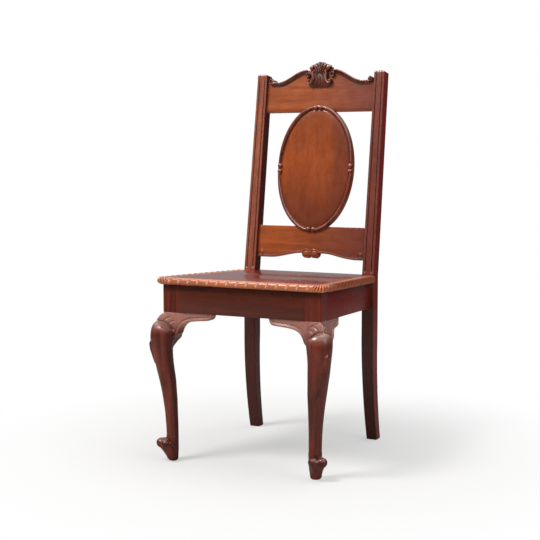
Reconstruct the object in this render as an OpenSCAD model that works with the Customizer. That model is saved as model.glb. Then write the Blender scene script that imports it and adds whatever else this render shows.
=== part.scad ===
// High-back chair of polished wood: cabriole front legs, solid seat with a
// bull-nosed edge moulding, reeded back posts and an oval back panel.
// X runs to the right as seen from the front, Y to the back, Z up from the floor.

/* [Seat frame] */
// Height of the front edge of the seat above the floor
seat_h = 470; // [440:1:500]
// How much lower the seat lies at the back posts than at the front
seat_drop = 15; // [5:1:25]
// Depth from the face of the front rail to the back posts
seat_d = 399; // [370:1:430]
// Width across the outer faces of the front rail's leg blocks
front_w = 433; // [405:1:460]
// Height of the seat rails
rail_h = 70; // [60:1:80]
// Thickness of the seat rails
rail_t = 22; // [18:1:24]
// Height of the rail between the back posts
back_rail_h = 58; // [46:1:60]
// How far a side rail's face lies inside the back leg's outer face
side_set = 8; // [6:0.5:10]
// Length of the long sides of a corner block
corner_leg = 50; // [42:1:56]
// Height of a corner block
corner_h = 38; // [34:1:42]

/* [Seat] */
// Thickness of the seat boards and of their edge moulding
seat_t = 18; // [16:0.5:20]
// How far the edge moulding stands out past the rails
overhang = 13; // [10:0.5:15]
// Width of the edge moulding
moulding_w = 24; // [21:0.5:26]
// Radius of the seat's front corners
corner_r = 16; // [12:1:22]
// Depth of the front seat board
front_board_d = 205; // [180:1:230]

/* [Front legs] */
// Side of the square block at the top of a front leg
block = 44; // [40:1:47]
// How far the knee swings out from the block's centre
knee_reach = 36; // [30:1:40]
// Half of the knee's thickness, front to inside
knee_r = 28.5; // [25:0.5:31]
// Half of the knee's width, face to face
knee_cross_r = 33; // [29:0.5:35]
// Height of the fluted collar above the knee
collar_h = 26; // [22:1:30]
// How far the scroll toe stands out past the ankle
toe_reach = 26; // [20:1:30]
// Height of the widest part of the toe
toe_z = 46; // [42:1:50]

/* [Knee brackets] */
// Length of a knee bracket
bracket_l = 95; // [80:1:105]
// Thickness of a knee bracket
bracket_t = 22; // [18:1:24]
// Height of a front bracket where it meets the leg
bracket_h = 52; // [46:1:58]
// Height of a side bracket where it meets the leg
side_bracket_h = 66; // [58:1:72]

/* [Back posts] */
// Width across the outer faces of the back legs
rear_w = 389; // [365:1:415]
// Width of a back leg at the seat
post_w = 33.5; // [31:0.5:36]
// Width of a back post at its top
post_top_w = 29; // [27:0.5:31]
// Depth of a back post, front to back
post_d = 36; // [34:1:42]
// Length of a back post above the seat, along its slope
post_l = 553; // [520:1:580]
// Backward lean of the posts in degrees
rake = 8.3; // [5:0.1:11]
// Width of a back leg's foot
foot_w = 30; // [26:0.5:31]
// Depth of a back leg's foot
foot_d = 27; // [24:0.5:30]
// How far the back foot sweeps behind the leg above it
foot_sweep = 36; // [20:1:44]
// Depth of the reeding on the front of the posts
reed_h = 3; // [2:0.25:4]

/* [Back] */
// How far the back rails lie behind the front of the posts
back_set = 11; // [9:0.5:12]
// Thickness of the crest rail and the lower back rail
back_t = 22; // [20:0.5:23]
// How far the crest rail's lower edge lies below the top of the posts, along the posts
crest_drop = 105; // [99:1:113]
// Height of the crest rail's end above its lower edge
crest_end_h = 82; // [72:1:90]
// How far the crest rises from its lowest point to the middle
crest_rise = 33; // [20:1:40]
// Height of the lower rail's top edge above the seat, along the posts
lower_top = 128.5; // [120:0.5:135]
// Height of the lower back rail at its ends
lower_end_h = 88; // [80:1:92]
// How far the lower rail's bottom edge rises towards the middle
lower_rise = 14.5; // [8:0.5:20]
// Radius of the scroll discs in the middle of the lower rail
disc_r = 12.5; // [10:0.5:14]
// Radius of the scroll discs at the ends of the lower rail
end_disc_r = 9; // [7:0.5:10]

/* [Back panel] */
// Half of the oval panel's width
oval_a = 113; // [95:1:120]
// How far the oval panel laps over the crest rail and the lower rail
oval_lap = 16; // [13:0.5:20]
// Thickness of the oval panel
panel_t = 13; // [11:0.5:15]
// How far the panel's face stands in front of the back rails
panel_proud = 2.5; // [1.5:0.5:4]
// Width of the scroll moulding round the oval
scroll_w = 10; // [8:0.5:12]
// Height of the scroll moulding above the panel
scroll_h = 5.5; // [4:0.5:7]

/* [Crest carving] */
// Height of the crest moulding's edge
lip_h = 12.5; // [9:0.5:14]
// How far the crest moulding stands in front of the crest rail
lip_out = 9; // [7:0.5:10]
// Radius of the volutes at the ends of the crest mouldings
volute_r = 9; // [7:0.5:10]
// Height of the carved shell
shell_h = 71; // [62:1:76]
// Half of the shell's width over its upper scrolls
shell_half_w = 33; // [28:0.5:35]
// How far the shell stands in front of the crest rail
shell_out = 15; // [11:0.5:17]

/* [Hidden] */

// Clearance round a tenon in its mortise, and the extra depth below it
tenon_fit = 0.2;
mortise_room = 1;
// Overrun of cutting shapes past the surface that they cut
over = 1;
// Gap between a corner block and the leg that it goes round
block_gap = 0.5;
// Tenons of the seat rails
tenon_t = 8;
tenon_h = 44;
front_tenon_l = 24;
side_tenon_l = 13;
back_tenon_l = 18;
back_rail_set = 8;
back_tenon_set = 18;
// Tenons of the crest rail and the lower back rail
crest_tenon_h = 60;
lower_tenon_h = 60;
// Edge rounding of plain pieces
nose_r = seat_t / 2;
// Screws: shank, head, counterbore and the wood left below the head
screw_r = 2.1;
screw_head_r = 4.2;
screw_head_h = 2.6;
screw_l = 30;
screw_clear = 0.15;
bore_r = 5;
under_head = 14;
panel_screw_l = 22;
// The ankle lies a little inside and in front of the line through the block's centre
ankle_in = 4;
ankle_front = 4;
// Flat of the scroll foot on the floor
foot_round = 3;
// Depth of the rebate that takes the oval panel, and clearance round its edge
panel_fit = 0.3;
// Gap between the ends of two neighbouring scroll mouldings
scroll_gap = 1.2;
// Radius of the small volutes of the oval's scroll mouldings
scroll_eye_r = 6.5;
// Chamfer at the top of the posts
post_chamfer = 4;
// Set-back of the bracket faces behind the rail faces
bracket_set = 2;

// Heights and places of the seat frame
rear_h = seat_h - seat_drop;
slope = atan(seat_drop / seat_d);
rail_top = seat_h - seat_t;
crest_low = post_l - crest_drop;
oval_b = (crest_low - lower_top) / 2 + oval_lap;
rail_low = rail_top - rail_h;
front_x = front_w / 2;
rear_x = rear_w / 2;
rail_rear_x = rear_x - side_set;
post_in_x = rear_x - post_w;
taper = atan((front_x - rail_rear_x) / seat_d);
back_rail_y = seat_d + back_rail_set;
// Outer face of a side rail at a given depth, moved inwards by a distance square to it
function side_x(y, inwards) = front_x - tan(taper) * y - inwards / cos(taper);
// Height of the sloping plane that passes through a given height at the front
function plane_z(z, y) = z - tan(slope) * y;

// Stations of the front leg as shares: height (of the rail's underside), swing (of knee_reach),
// thickness (of knee_r), width (of knee_cross_r) and squareness of the section
leg_shares = [
    [0.000, 0.24, 0.38, 0.34, 2.2],
    [0.016, 0.26, 0.45, 0.40, 2.2],
    [0.052, 0.28, 0.49, 0.43, 2.2],
    [0.110, 0.30, 0.51, 0.46, 2.3],
    [0.204, 0.31, 0.51, 0.47, 2.4],
    [0.272, 0.34, 0.53, 0.48, 2.4],
    [0.340, 0.38, 0.55, 0.51, 2.4],
    [0.408, 0.44, 0.60, 0.56, 2.4],
    [0.476, 0.52, 0.64, 0.62, 2.4],
    [0.545, 0.62, 0.70, 0.69, 2.4],
    [0.600, 0.73, 0.74, 0.73, 2.4],
    [0.668, 0.86, 0.78, 0.78, 2.4],
    [0.736, 0.96, 0.85, 0.82, 2.3],
    [0.783, 1.00, 0.92, 0.86, 2.3],
    [0.830, 1.00, 1.00, 0.92, 2.2],
    [0.861, 0.97, 1.02, 0.95, 2.2],
    [0.895, 0.90, 1.03, 0.97, 2.2],
    [0.920, 0.78, 1.02, 0.98, 2.2]
];
// Stations of the collar between the knee and the block: height as a share of collar_h below
// the rail's underside, swing as a share of knee_reach, half side as a share of block
collar_shares = [
    [1.00, 0.30, 0.75, 3.4],
    [0.80, 0.30, 0.74, 3.6],
    [0.55, 0.24, 0.71, 4.0],
    [0.30, 0.13, 0.64, 5.0],
    [0.10, 0.04, 0.54, 8.0],
    [0.00, 0.00, 0.49, 14.0]
];
toe_rings = 16;
shaft_rings = 20;
leg_sides = 28;
toe_zone_share = 0.18;
ankle_x = front_x - block / 2 - ankle_in;
ankle_y = block / 2 - ankle_front;
block_x = front_x - block / 2;
block_y = block / 2;

function mix(a, b, t) = a + (b - a) * t;
function spline(a, b, c, d, t) =
    b + 0.5 * t * (c - a + t * (2 * a - 5 * b + 4 * c - d + t * (3 * (b - c) + d - a)));
function row_at(rows, s, i = 0) =
    i >= len(rows) - 2 || rows[i + 1][0] >= s ? i : row_at(rows, s, i + 1);
// Smooth value of one column of a table whose first column rises
function smooth_at(rows, col, s) =
    let (
        i = row_at(rows, s),
        t = (s - rows[i][0]) / (rows[i + 1][0] - rows[i][0]),
        a = rows[max(i - 1, 0)][col],
        d = rows[min(i + 2, len(rows) - 1)][col]
    ) spline(a, rows[i][col], rows[i + 1][col], d, t);
function power(v, e) = sign(v) * pow(abs(v), e);
function bell(v) = exp(-v * v);

// A rounded square in plan, stretched along the diagonal that points out of the corner
function section(cx, cy, r, cross_r, square, a) =
    let (
        u = r * power(cos(a), 2 / square),
        v = r * power(sin(a), 2 / square),
        out = (u - v) / sqrt(2),
        across = (u + v) / sqrt(2) * cross_r / r
    ) [cx + (out + across) / sqrt(2), cy + (across - out) / sqrt(2)];

// The scroll toe swells out in two lobes, one turned to the side and one to the front
toe_low_share = 0.5;
toe_top_share = 0.27;
lobe_turns = [-33, -76];
lobe_shares = [1, 0.86];
lobe_spread = 23;
function toe_bulge(z, a) =
    let (
        above = (z - toe_z) / (toe_z * toe_top_share),
        below = (toe_z - z) / (toe_z * toe_low_share),
        fade = z > toe_z ? exp(-pow(above, 3)) : bell(below),
        lobes = max([for (i = [0, 1]) lobe_shares[i] * bell((a - lobe_turns[i]) / lobe_spread)])
    ) toe_reach * lobes * fade * min(1, z / foot_round);

function swing(s) = knee_reach * s / sqrt(2);
// One ring of the leg below the collar at a share of the height, seen as the right leg.
// The inner faces are cut flat where the knee brackets are glued on.
bracket_foot_z = rail_low - bracket_h;
block_in_x = front_x - block;
function leg_ring(s) =
    let (
        z = rail_low * s,
        c = swing(smooth_at(leg_shares, 1, s)),
        r = knee_r * smooth_at(leg_shares, 2, s),
        cross_r = knee_cross_r * smooth_at(leg_shares, 3, s),
        square = smooth_at(leg_shares, 4, s),
        cut = z > bracket_foot_z - over
    ) [
        for (i = [0:leg_sides - 1])
            let (
                a = (i + 0.5) * 360 / leg_sides - 180,
                p = section(ankle_x + c, ankle_y - c, r, cross_r, square, a),
                b = toe_bulge(z, a),
                x = p[0] + b * cos(a),
                y = p[1] + b * sin(a)
            ) [cut ? max(x, block_in_x) : x, cut ? min(y, block) : y, z]
    ];
function collar_ring(k) =
    let (
        row = collar_shares[k],
        z = rail_low - collar_h * row[0],
        c = swing(row[1]),
        r = block * row[2]
    ) [
        for (i = [0:leg_sides - 1])
            let (
                a = (i + 0.5) * 360 / leg_sides - 180,
                p = section(block_x + c, block_y - c, r, r, row[3], a)
            ) [min(max(p[0], block_in_x), front_x + swing(row[1]) * 2),
               max(min(p[1], block), -swing(row[1]) * 2), z]
    ];
knee_top_share = leg_shares[len(leg_shares) - 1][0];
leg_points = concat(
    [for (k = [0:toe_rings - 1]) leg_ring(toe_zone_share * k / toe_rings)],
    [for (k = [0:shaft_rings]) leg_ring(mix(toe_zone_share, knee_top_share, k / shaft_rings))],
    [for (k = [0:len(collar_shares) - 1]) collar_ring(k)],
    [[for (p = collar_ring(len(collar_shares) - 1)) [p[0], p[1], rail_low + over]]]
);

// The back is drawn in a frame of its own: x across, y behind the posts' front, z up the slope
module back_frame() translate([0, seat_d, rear_h]) rotate([-rake, 0, 0]) children();
post_top_y = seat_d + (post_l - post_chamfer) * sin(rake) + post_d * cos(rake);
leg_front_y = min([for (ring = leg_points) each [for (p = ring) p[1]]]);
mid_y = (leg_front_y + post_top_y) / 2;

// The whole chair stands centred over the origin
module placed() translate([0, -mid_y, 0]) children();
module left() mirror([1, 0, 0]) children();

// A closed body through a list of rings with equal counts of points
module loft(rings) {
    n = len(rings[0]);
    m = len(rings);
    polyhedron(
        points = [for (r = rings) each r],
        faces = concat(
            [[for (i = [0:n - 1]) i]],
            [for (j = [0:m - 2], i = [0:n - 1]) each [
                [j * n + i, (j + 1) * n + i, (j + 1) * n + (i + 1) % n],
                [j * n + i, (j + 1) * n + (i + 1) % n, j * n + (i + 1) % n]
            ]],
            [[for (i = [n - 1:-1:0]) (m - 1) * n + i]]
        )
    );
}
// A plate between two depths, from an outline in x and z
module plate(y, t) translate([0, y + t, 0]) rotate([90, 0, 0]) linear_extrude(t) children();
// A bar along x between two places, from an outline in y and z
module bar(x, l) translate([x, 0, 0]) rotate([90, 0, 90]) linear_extrude(l) children();
// A column between two heights, from an outline in plan
module column(z, h) translate([0, 0, z]) linear_extrude(h) children();

// A tenon or its mortise: a block between two corners, grown by a fit
module between(a, b, fit = 0)
    translate([for (i = [0:2]) min(a[i], b[i]) - fit])
        cube([for (i = [0:2]) abs(b[i] - a[i]) + 2 * fit]);

// Tenons of the seat frame, right side
rail_mid_z = rail_low + rail_h / 2;
module front_tenon(fit = 0, room = 0)
    between([block_in_x - over, (rail_t - tenon_t) / 2, rail_mid_z - tenon_h / 2],
            [block_in_x + front_tenon_l + room, (rail_t + tenon_t) / 2, rail_mid_z + tenon_h / 2], fit);
side_tenon_x = side_x(block, rail_t / 2);
module side_front_tenon(fit = 0, room = 0)
    between([side_tenon_x - tenon_t / 2, block - front_tenon_l - room, rail_mid_z - tenon_h / 2],
            [side_tenon_x + tenon_t / 2, block + over, rail_mid_z + tenon_h / 2], fit);
rear_tenon_x = side_x(seat_d, rail_t / 2);
rear_mid_z = plane_z(rail_mid_z, seat_d);
module side_rear_tenon(fit = 0, room = 0)
    between([rear_tenon_x - tenon_t / 2, seat_d - over, rear_mid_z - tenon_h / 2],
            [rear_tenon_x + tenon_t / 2, seat_d + side_tenon_l + room, rear_mid_z + tenon_h / 2], fit);
back_mid_z = plane_z(rail_top, back_rail_y + rail_t) - back_rail_h / 2;
module back_rail_tenon(fit = 0, room = 0)
    between([post_in_x - over, seat_d + back_tenon_set, back_mid_z - tenon_h / 2],
            [post_in_x + back_tenon_l + room, seat_d + back_tenon_set + tenon_t, back_mid_z + tenon_h / 2],
            fit);
// Tenons of the two back rails, right side, in the back's own frame
back_tenon_y = back_set + (back_t - tenon_t) / 2;
crest_tenon_z = crest_low + (crest_end_h - crest_tenon_h) / 2;
lower_tenon_z = lower_top - lower_end_h + (lower_end_h - lower_tenon_h) / 2;
module back_tenon(z, h, fit = 0, room = 0)
    between([post_in_x - over, back_tenon_y, z],
            [post_in_x + back_tenon_l + room, back_tenon_y + tenon_t, z + h], fit);

// Corner blocks, right side, in plan
block_edge = block_in_x - block_gap;
block_back = block + block_gap;
module front_block_plan() polygon([
    [block_edge - corner_leg, rail_t],
    [block_edge, rail_t],
    [block_edge, block_back],
    [side_x(block_back, rail_t), block_back],
    [side_x(block_back + corner_leg, rail_t), block_back + corner_leg]
]);
post_edge = post_in_x - block_gap;
post_front = seat_d - block_gap;
module rear_block_plan() polygon([
    [post_edge - corner_leg, back_rail_y],
    [post_edge, back_rail_y],
    [post_edge, post_front],
    [side_x(post_front, rail_t), post_front],
    [side_x(post_front - corner_leg, rail_t), post_front - corner_leg]
]);

// Places of the screws of one corner: into the front or back rail, into the side rail, into the seat
screw_share = 0.45;
screw_in = corner_leg * screw_share;
seat_screw_share = 0.17;
seat_screw_in = corner_leg * seat_screw_share;
front_screw_x = block_edge - screw_in;
side_screw_y = block_back + screw_in;
rear_screw_x = post_edge - screw_in;
rear_side_screw_y = post_front - screw_in;
front_seat_screw = [block_edge - seat_screw_in / 2, block_back + seat_screw_in];
rear_seat_screw = [post_edge - seat_screw_in, post_front - seat_screw_in + block_gap];
seat_bite_share = 0.55;
seat_screw_under = screw_l - seat_t * seat_bite_share;
function screw_z(y) = plane_z(rail_top, y) - corner_h / 2;

// A countersunk screw whose point lies along +z, with its head's top at the origin
module screw(l) {
    cylinder(h = l, r = screw_r, $fn = 32);
    cylinder(h = screw_head_h, r1 = screw_head_r, r2 = screw_r, $fn = 32);
}
// The hole for it: clearance all round, a wide bore above the head
module screw_hole(l, bore_l) {
    translate([0, 0, -over * screw_clear])
        cylinder(h = l + over, r = screw_r + screw_clear, $fn = 32);
    cylinder(h = screw_head_h + screw_clear, r1 = screw_head_r + screw_clear,
             r2 = screw_r + screw_clear, $fn = 32);
    translate([0, 0, -bore_l]) cylinder(h = bore_l, r = bore_r, $fn = 32);
}
// Carries its children to each rail screw of the right side
module at_rail_screws() {
    translate([front_screw_x, rail_t + under_head, screw_z(rail_t)]) rotate([90, 0, 0]) children();
    translate([side_x(side_screw_y, rail_t + under_head), side_screw_y, screw_z(side_screw_y)])
        rotate([0, 90, taper]) children();
    translate([rear_screw_x, back_rail_y - under_head, screw_z(back_rail_y)])
        rotate([-90, 0, 0]) children();
    translate([side_x(rear_side_screw_y, rail_t + under_head), rear_side_screw_y,
               screw_z(rear_side_screw_y)])
        rotate([0, 90, taper]) children();
}
module at_seat_screws() {
    for (p = [front_seat_screw, rear_seat_screw])
        translate([p[0], p[1], plane_z(rail_top, p[1]) - seat_screw_under]) children();
}
module rail_screw_holes() at_rail_screws() screw_hole(screw_l, corner_leg);
module seat_screw_holes() at_seat_screws() screw_hole(screw_l, corner_h);

// Colours of the polished wood and of the screws
wood = [0.45, 0.21, 0.12];
dark_wood = [0.33, 0.13, 0.08];
face_wood = [0.58, 0.33, 0.20];
steel = [0.68, 0.68, 0.66];

// A slab between two planes that slope with the seat, wide enough for any piece of it
slab_x = front_w;
slab_front = -block;
slab_back = seat_d + 3 * block;
module slab(low, high) bar(-slab_x, 2 * slab_x) polygon([
    [slab_front, plane_z(low, slab_front)],
    [slab_back, plane_z(low, slab_back)],
    [slab_back, plane_z(high, slab_back)],
    [slab_front, plane_z(high, slab_front)]
]);
// A piece of the seat frame: its plan between two sloping planes
module sloped(low, high) intersection() {
    column(rail_low - rail_h, 3 * rail_h) children();
    slab(low, high);
}

// Front leg: a lofted cabriole with the square block that takes the rails
block_out_x = side_x(block, 0);
module block_plan() polygon([[block_in_x, 0], [front_x, 0], [block_out_x, block], [block_in_x, block]]);
heel_w_share = 0.73;
heel_drop_share = 0.157;
heel_w = block * heel_w_share;
heel_drop = rail_low * heel_drop_share;
heel_cut = block - bracket_t - bracket_set;
heel_steps = 10;
heel_low = rail_low - side_bracket_h - heel_drop - over;
// Outline of a flat inner face: below the bracket it curves in until it is lost in the leg
function heel_curve(start, way, foot_z) = concat(
    [[start + way * block, heel_low], [start + way * heel_w, heel_low]],
    [for (i = [0:heel_steps])
        let (v = i / heel_steps) [start + way * heel_w * (1 - v * v), foot_z - heel_drop * (1 - v)]],
    [[start, rail_low + over], [start + way * block, rail_low + over]]
);
module heel() intersection() {
    column(heel_low, rail_low + over - heel_low) polygon([
        [block_in_x, 0], [front_x - over, 0], [front_x - over, block - over],
        [block_out_x - over, block], [block_in_x + heel_cut, block], [block_in_x, block - heel_cut]
    ]);
    plate(0, block) polygon(heel_curve(block_in_x, 1, bracket_foot_z));
    bar(block_in_x, block) polygon(heel_curve(block, -1, rail_low - side_bracket_h));
}
module leg() placed() difference() {
    union() {
        loft(leg_points);
        heel();
        intersection() {
            column(rail_low, rail_h) block_plan();
            slab(rail_low - rail_h, rail_top);
        }
    }
    front_tenon(tenon_fit, mortise_room);
    side_front_tenon(tenon_fit, mortise_room);
}
module front_leg_right() color(wood) leg();
module front_leg_left() color(wood) left() leg();

// Knee brackets: shares of bracket_l from the leg, shares of the bracket's height below the rail
bracket_shares = [
    [0, 1], [0.035, 0.83], [0.08, 0.69], [0.14, 0.575], [0.22, 0.49], [0.32, 0.43], [0.45, 0.39],
    [0.60, 0.36], [0.74, 0.34], [0.874, 0.31], [0.93, 0.27], [0.965, 0.20], [0.985, 0.11], [1, 0]
];
function bracket_edge(start, way, height, drop) = [
    for (p = bracket_shares)
        let (d = p[0] * bracket_l) [start + way * d, rail_low - p[1] * height - drop * d]
];
module bracket_front() placed() plate(bracket_set, bracket_t)
    polygon(concat([[block_in_x, rail_low]], bracket_edge(block_in_x, -1, bracket_h, 0)));
side_start_z = plane_z(rail_low, block);
bracket_end = block + bracket_l;
module bracket_side() placed() intersection() {
    column(rail_low - 2 * side_bracket_h, 3 * side_bracket_h) polygon([
        [side_x(block, bracket_set), block],
        [side_x(bracket_end, bracket_set), bracket_end],
        [side_x(bracket_end, bracket_set + bracket_t), bracket_end],
        [side_x(block, bracket_set + bracket_t), block]
    ]);
    translate([0, 0, side_start_z - rail_low]) bar(0, front_x)
        polygon(concat([[block, rail_low]], bracket_edge(block, 1, side_bracket_h, tan(slope))));
}
module knee_bracket_front_right() color(wood) bracket_front();
module knee_bracket_front_left() color(wood) left() bracket_front();
module knee_bracket_side_right() color(wood) bracket_side();
module knee_bracket_side_left() color(wood) left() bracket_side();

// Back legs and posts in one piece, bent at the seat and swept back to the foot
sweep_share = 0.6;
sweep_z = rear_h * sweep_share;
sweep_steps = 10;
function sweep_y(v) = seat_d + foot_sweep * v * v;
function back_point(y, z) =
    [seat_d + y * cos(rake) + z * sin(rake), rear_h - y * sin(rake) + z * cos(rake)];
post_side_outline = concat(
    [for (i = [sweep_steps:-1:0]) let (v = i / sweep_steps) [sweep_y(v), sweep_z * (1 - v)]],
    [
        [seat_d, rear_h],
        back_point(0, post_l - post_chamfer),
        back_point(post_chamfer, post_l),
        back_point(post_d - post_chamfer, post_l),
        back_point(post_d, post_l - post_chamfer),
        [seat_d + post_d, rear_h - post_d * tan(rake / 2)]
    ],
    [for (i = [0:sweep_steps]) let (v = i / sweep_steps)
        [sweep_y(v) + mix(post_d, foot_d, v), sweep_z * (1 - v)]]
);
post_top_z = back_point(0, post_l)[1];
post_top_x = post_in_x + post_top_w;
chamfer_z = post_top_z - post_chamfer;
module post_front_outline() polygon([
    [rear_x - foot_w, 0], [rear_x, 0], [rear_x, rear_h], [post_top_x, chamfer_z],
    [post_top_x - post_chamfer, post_top_z + over], [post_in_x + post_chamfer, post_top_z + over],
    [post_in_x, chamfer_z], [post_in_x, sweep_z]
]);
// Grooves that part the wide middle reed of the post from the beads at its edges
groove_share = 0.24;
groove_foot_share = 0.17;
groove_foot = post_d * groove_foot_share;
groove_tilt = atan((post_w - post_top_w) / post_l);
module post_grooves() {
    for (s = [groove_share, 1 - groove_share])
        translate([post_in_x + post_w * s, 0, groove_foot])
            rotate([0, -groove_tilt * s, 0]) cylinder(h = post_l, r = reed_h, $fn = 32);
}
module post() placed() difference() {
    intersection() {
        bar(0, front_x) polygon(post_side_outline);
        plate(0, seat_d + post_l) post_front_outline();
    }
    back_frame() {
        post_grooves();
        back_tenon(crest_tenon_z, crest_tenon_h, tenon_fit, mortise_room);
        back_tenon(lower_tenon_z, lower_tenon_h, tenon_fit, mortise_room);
    }
    side_rear_tenon(tenon_fit, mortise_room);
    back_rail_tenon(tenon_fit, mortise_room);
}
module rear_post_right() color(wood) post();
module rear_post_left() color(wood) left() post();

// Rails of the seat frame
module front_rail() color(wood) placed() difference() {
    union() {
        bar(-block_in_x, 2 * block_in_x) polygon([
            [0, rail_low], [rail_t, rail_low],
            [rail_t, plane_z(rail_top, rail_t)], [0, rail_top]
        ]);
        front_tenon();
        left() front_tenon();
    }
    rail_screw_holes();
    left() rail_screw_holes();
}
module side_rail() placed() difference() {
    union() {
        sloped(rail_low, rail_top) polygon([
            [side_x(block, 0), block], [side_x(seat_d, 0), seat_d],
            [side_x(seat_d, rail_t), seat_d], [side_x(block, rail_t), block]
        ]);
        side_front_tenon();
        side_rear_tenon();
    }
    rail_screw_holes();
}
module side_rail_right() color(wood) side_rail();
module side_rail_left() color(wood) left() side_rail();
back_rail_end = back_rail_y + rail_t;
back_rail_low = plane_z(rail_top, back_rail_end) - back_rail_h;
module back_rail() color(dark_wood) placed() difference() {
    union() {
        bar(-post_in_x, 2 * post_in_x) polygon([
            [back_rail_y, back_rail_low], [back_rail_end, back_rail_low],
            [back_rail_end, plane_z(rail_top, back_rail_end)],
            [back_rail_y, plane_z(rail_top, back_rail_y)]
        ]);
        back_rail_tenon();
        left() back_rail_tenon();
    }
    rail_screw_holes();
    left() rail_screw_holes();
}

// Corner blocks screwed into the four corners of the frame
module corner_block() placed() difference() {
    sloped(rail_top - corner_h, rail_top) children();
    rail_screw_holes();
    seat_screw_holes();
}
module corner_block_front_right() color(dark_wood) corner_block() front_block_plan();
module corner_block_front_left() color(dark_wood) left() corner_block() front_block_plan();
module corner_block_rear_right() color(dark_wood) corner_block() rear_block_plan();
module corner_block_rear_left() color(dark_wood) left() corner_block() rear_block_plan();
module corner_block_screws() color(steel) placed() {
    at_rail_screws() screw(screw_l);
    left() at_rail_screws() screw(screw_l);
}
module seat_screws() color(steel) placed() {
    at_seat_screws() screw(screw_l);
    left() at_seat_screws() screw(screw_l);
}

// Seat: two boards inside a mitred bull-nosed moulding
moulding_in = moulding_w - overhang;
notch_gap = 0.3;
function both_sides(half) = concat(half, [for (i = [len(half) - 1:-1:0]) [-half[i][0], half[i][1]]]);
module board(half) placed() difference() {
    sloped(rail_top, seat_h) polygon(both_sides(half));
    seat_screw_holes();
    left() seat_screw_holes();
}
board_joint = moulding_in + front_board_d;
notch_y = seat_d - notch_gap;
notch_x = post_in_x - notch_gap;
module seat_board_front() color(face_wood) board([
    [side_x(moulding_in, moulding_in), moulding_in],
    [side_x(board_joint, moulding_in), board_joint]
]);
module seat_board_rear() color(face_wood) board([
    [side_x(board_joint, moulding_in), board_joint],
    [side_x(notch_y, moulding_in), notch_y],
    [notch_x, notch_y],
    [notch_x, back_rail_end]
]);
nose_steps = 10;
corner_steps = 5;
// Section of the moulding between a point of its inner edge and one of its outer edge
function nose_ring(inner, outer) =
    let (
        l = norm(outer - inner),
        way = (outer - inner) / l,
        profile = concat(
            [[0, rail_top]],
            [for (i = [0:nose_steps]) let (a = 180 * i / nose_steps - 90)
                [l - nose_r + nose_r * cos(a), rail_top + nose_r + nose_r * sin(a)]],
            [[0, seat_h]]
        )
    ) [for (p = profile) let (q = inner + way * p[0]) [q[0], q[1], plane_z(p[1], q[1])]];
corner_c = [side_x(corner_r - overhang, corner_r - overhang), corner_r - overhang];
corner_in = [side_x(moulding_in, moulding_in), moulding_in];
mitre_a = (taper - 90) / 2;
function corner_ring(a) = nose_ring(corner_in, corner_c + corner_r * [cos(a), sin(a)]);
function mirrored(ring) = [for (p = ring) [-p[0], p[1], p[2]]];
front_rings = [for (i = [0:corner_steps]) corner_ring(mix(mitre_a, -90, i / corner_steps))];
module seat_moulding_front() color(face_wood) placed() loft(concat(
    front_rings, [for (i = [corner_steps:-1:0]) mirrored(front_rings[i])]
));
module side_moulding() placed() loft(concat(
    [nose_ring([side_x(seat_d, moulding_in), seat_d], [side_x(seat_d, -overhang), seat_d])],
    [for (i = [0:corner_steps]) corner_ring(mix(taper, mitre_a, i / corner_steps))]
));
module seat_moulding_right() color(face_wood) side_moulding();
module seat_moulding_left() color(face_wood) left() side_moulding();

// Crest rail: its top edge swings up from the posts to the middle
wave_in_share = 0.25;
wave_out_share = 0.795;
function clamp(v) = min(1, max(0, v));
function crest_edge(x) =
    let (v = clamp((abs(x) / post_in_x - wave_in_share) / (wave_out_share - wave_in_share)))
    crest_low + crest_end_h + crest_rise * (1 + cos(180 * v)) / 2;
crest_steps = 64;
end_volute_shares = [1.45, 0.29];
mid_volute_shares = [1.13, 0.545];
crest_end_z = crest_low + crest_end_h;
crest_end_volute = [post_in_x - volute_r * end_volute_shares[0], crest_end_z + volute_r * end_volute_shares[1]];
crest_mid_volute = [shell_half_w * mid_volute_shares[0], crest_end_z + crest_rise * mid_volute_shares[1]];
oval_z = (crest_low + lower_top) / 2;
module oval(grow) translate([0, oval_z]) polygon([
    for (i = [0:oval_steps - 1]) let (a = 360 * i / oval_steps)
        [(oval_a + grow) * cos(a), (oval_b + grow) * sin(a)]
]);
oval_steps = 72;
panel_y = back_set - panel_proud;
module oval_rebate() plate(panel_y - over, panel_t + over + panel_fit) oval(panel_fit);

// Shell outline, right half, as shares of shell_half_w and shell_h from its lowest point
shell_shares = [
    [0, 0], [0.22, 0.03], [0.40, 0.02], [0.62, 0.01], [0.85, 0.03], [1.0, 0.09], [1.03, 0.17],
    [0.93, 0.25], [0.76, 0.31], [0.63, 0.41], [0.56, 0.54], [0.60, 0.64], [0.78, 0.675],
    [0.94, 0.72], [1.0, 0.79], [0.94, 0.86], [0.76, 0.90], [0.52, 0.93], [0.34, 0.98],
    [0.16, 1.0], [0, 1.0]
];
shell_low_share = 0.232;
shell_low = crest_end_z - shell_h * shell_low_share;
shell_mid_share = 0.5;
function shell_ring(size, y) =
    let (
        half = [for (p = shell_shares)
            [p[0] * shell_half_w * size, y,
             shell_low + shell_h * (shell_mid_share + (p[1] - shell_mid_share) * size)]],
        n = len(half)
    ) concat(half, [for (i = [n - 2:-1:1]) [-half[i][0], y, half[i][2]]]);
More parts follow.
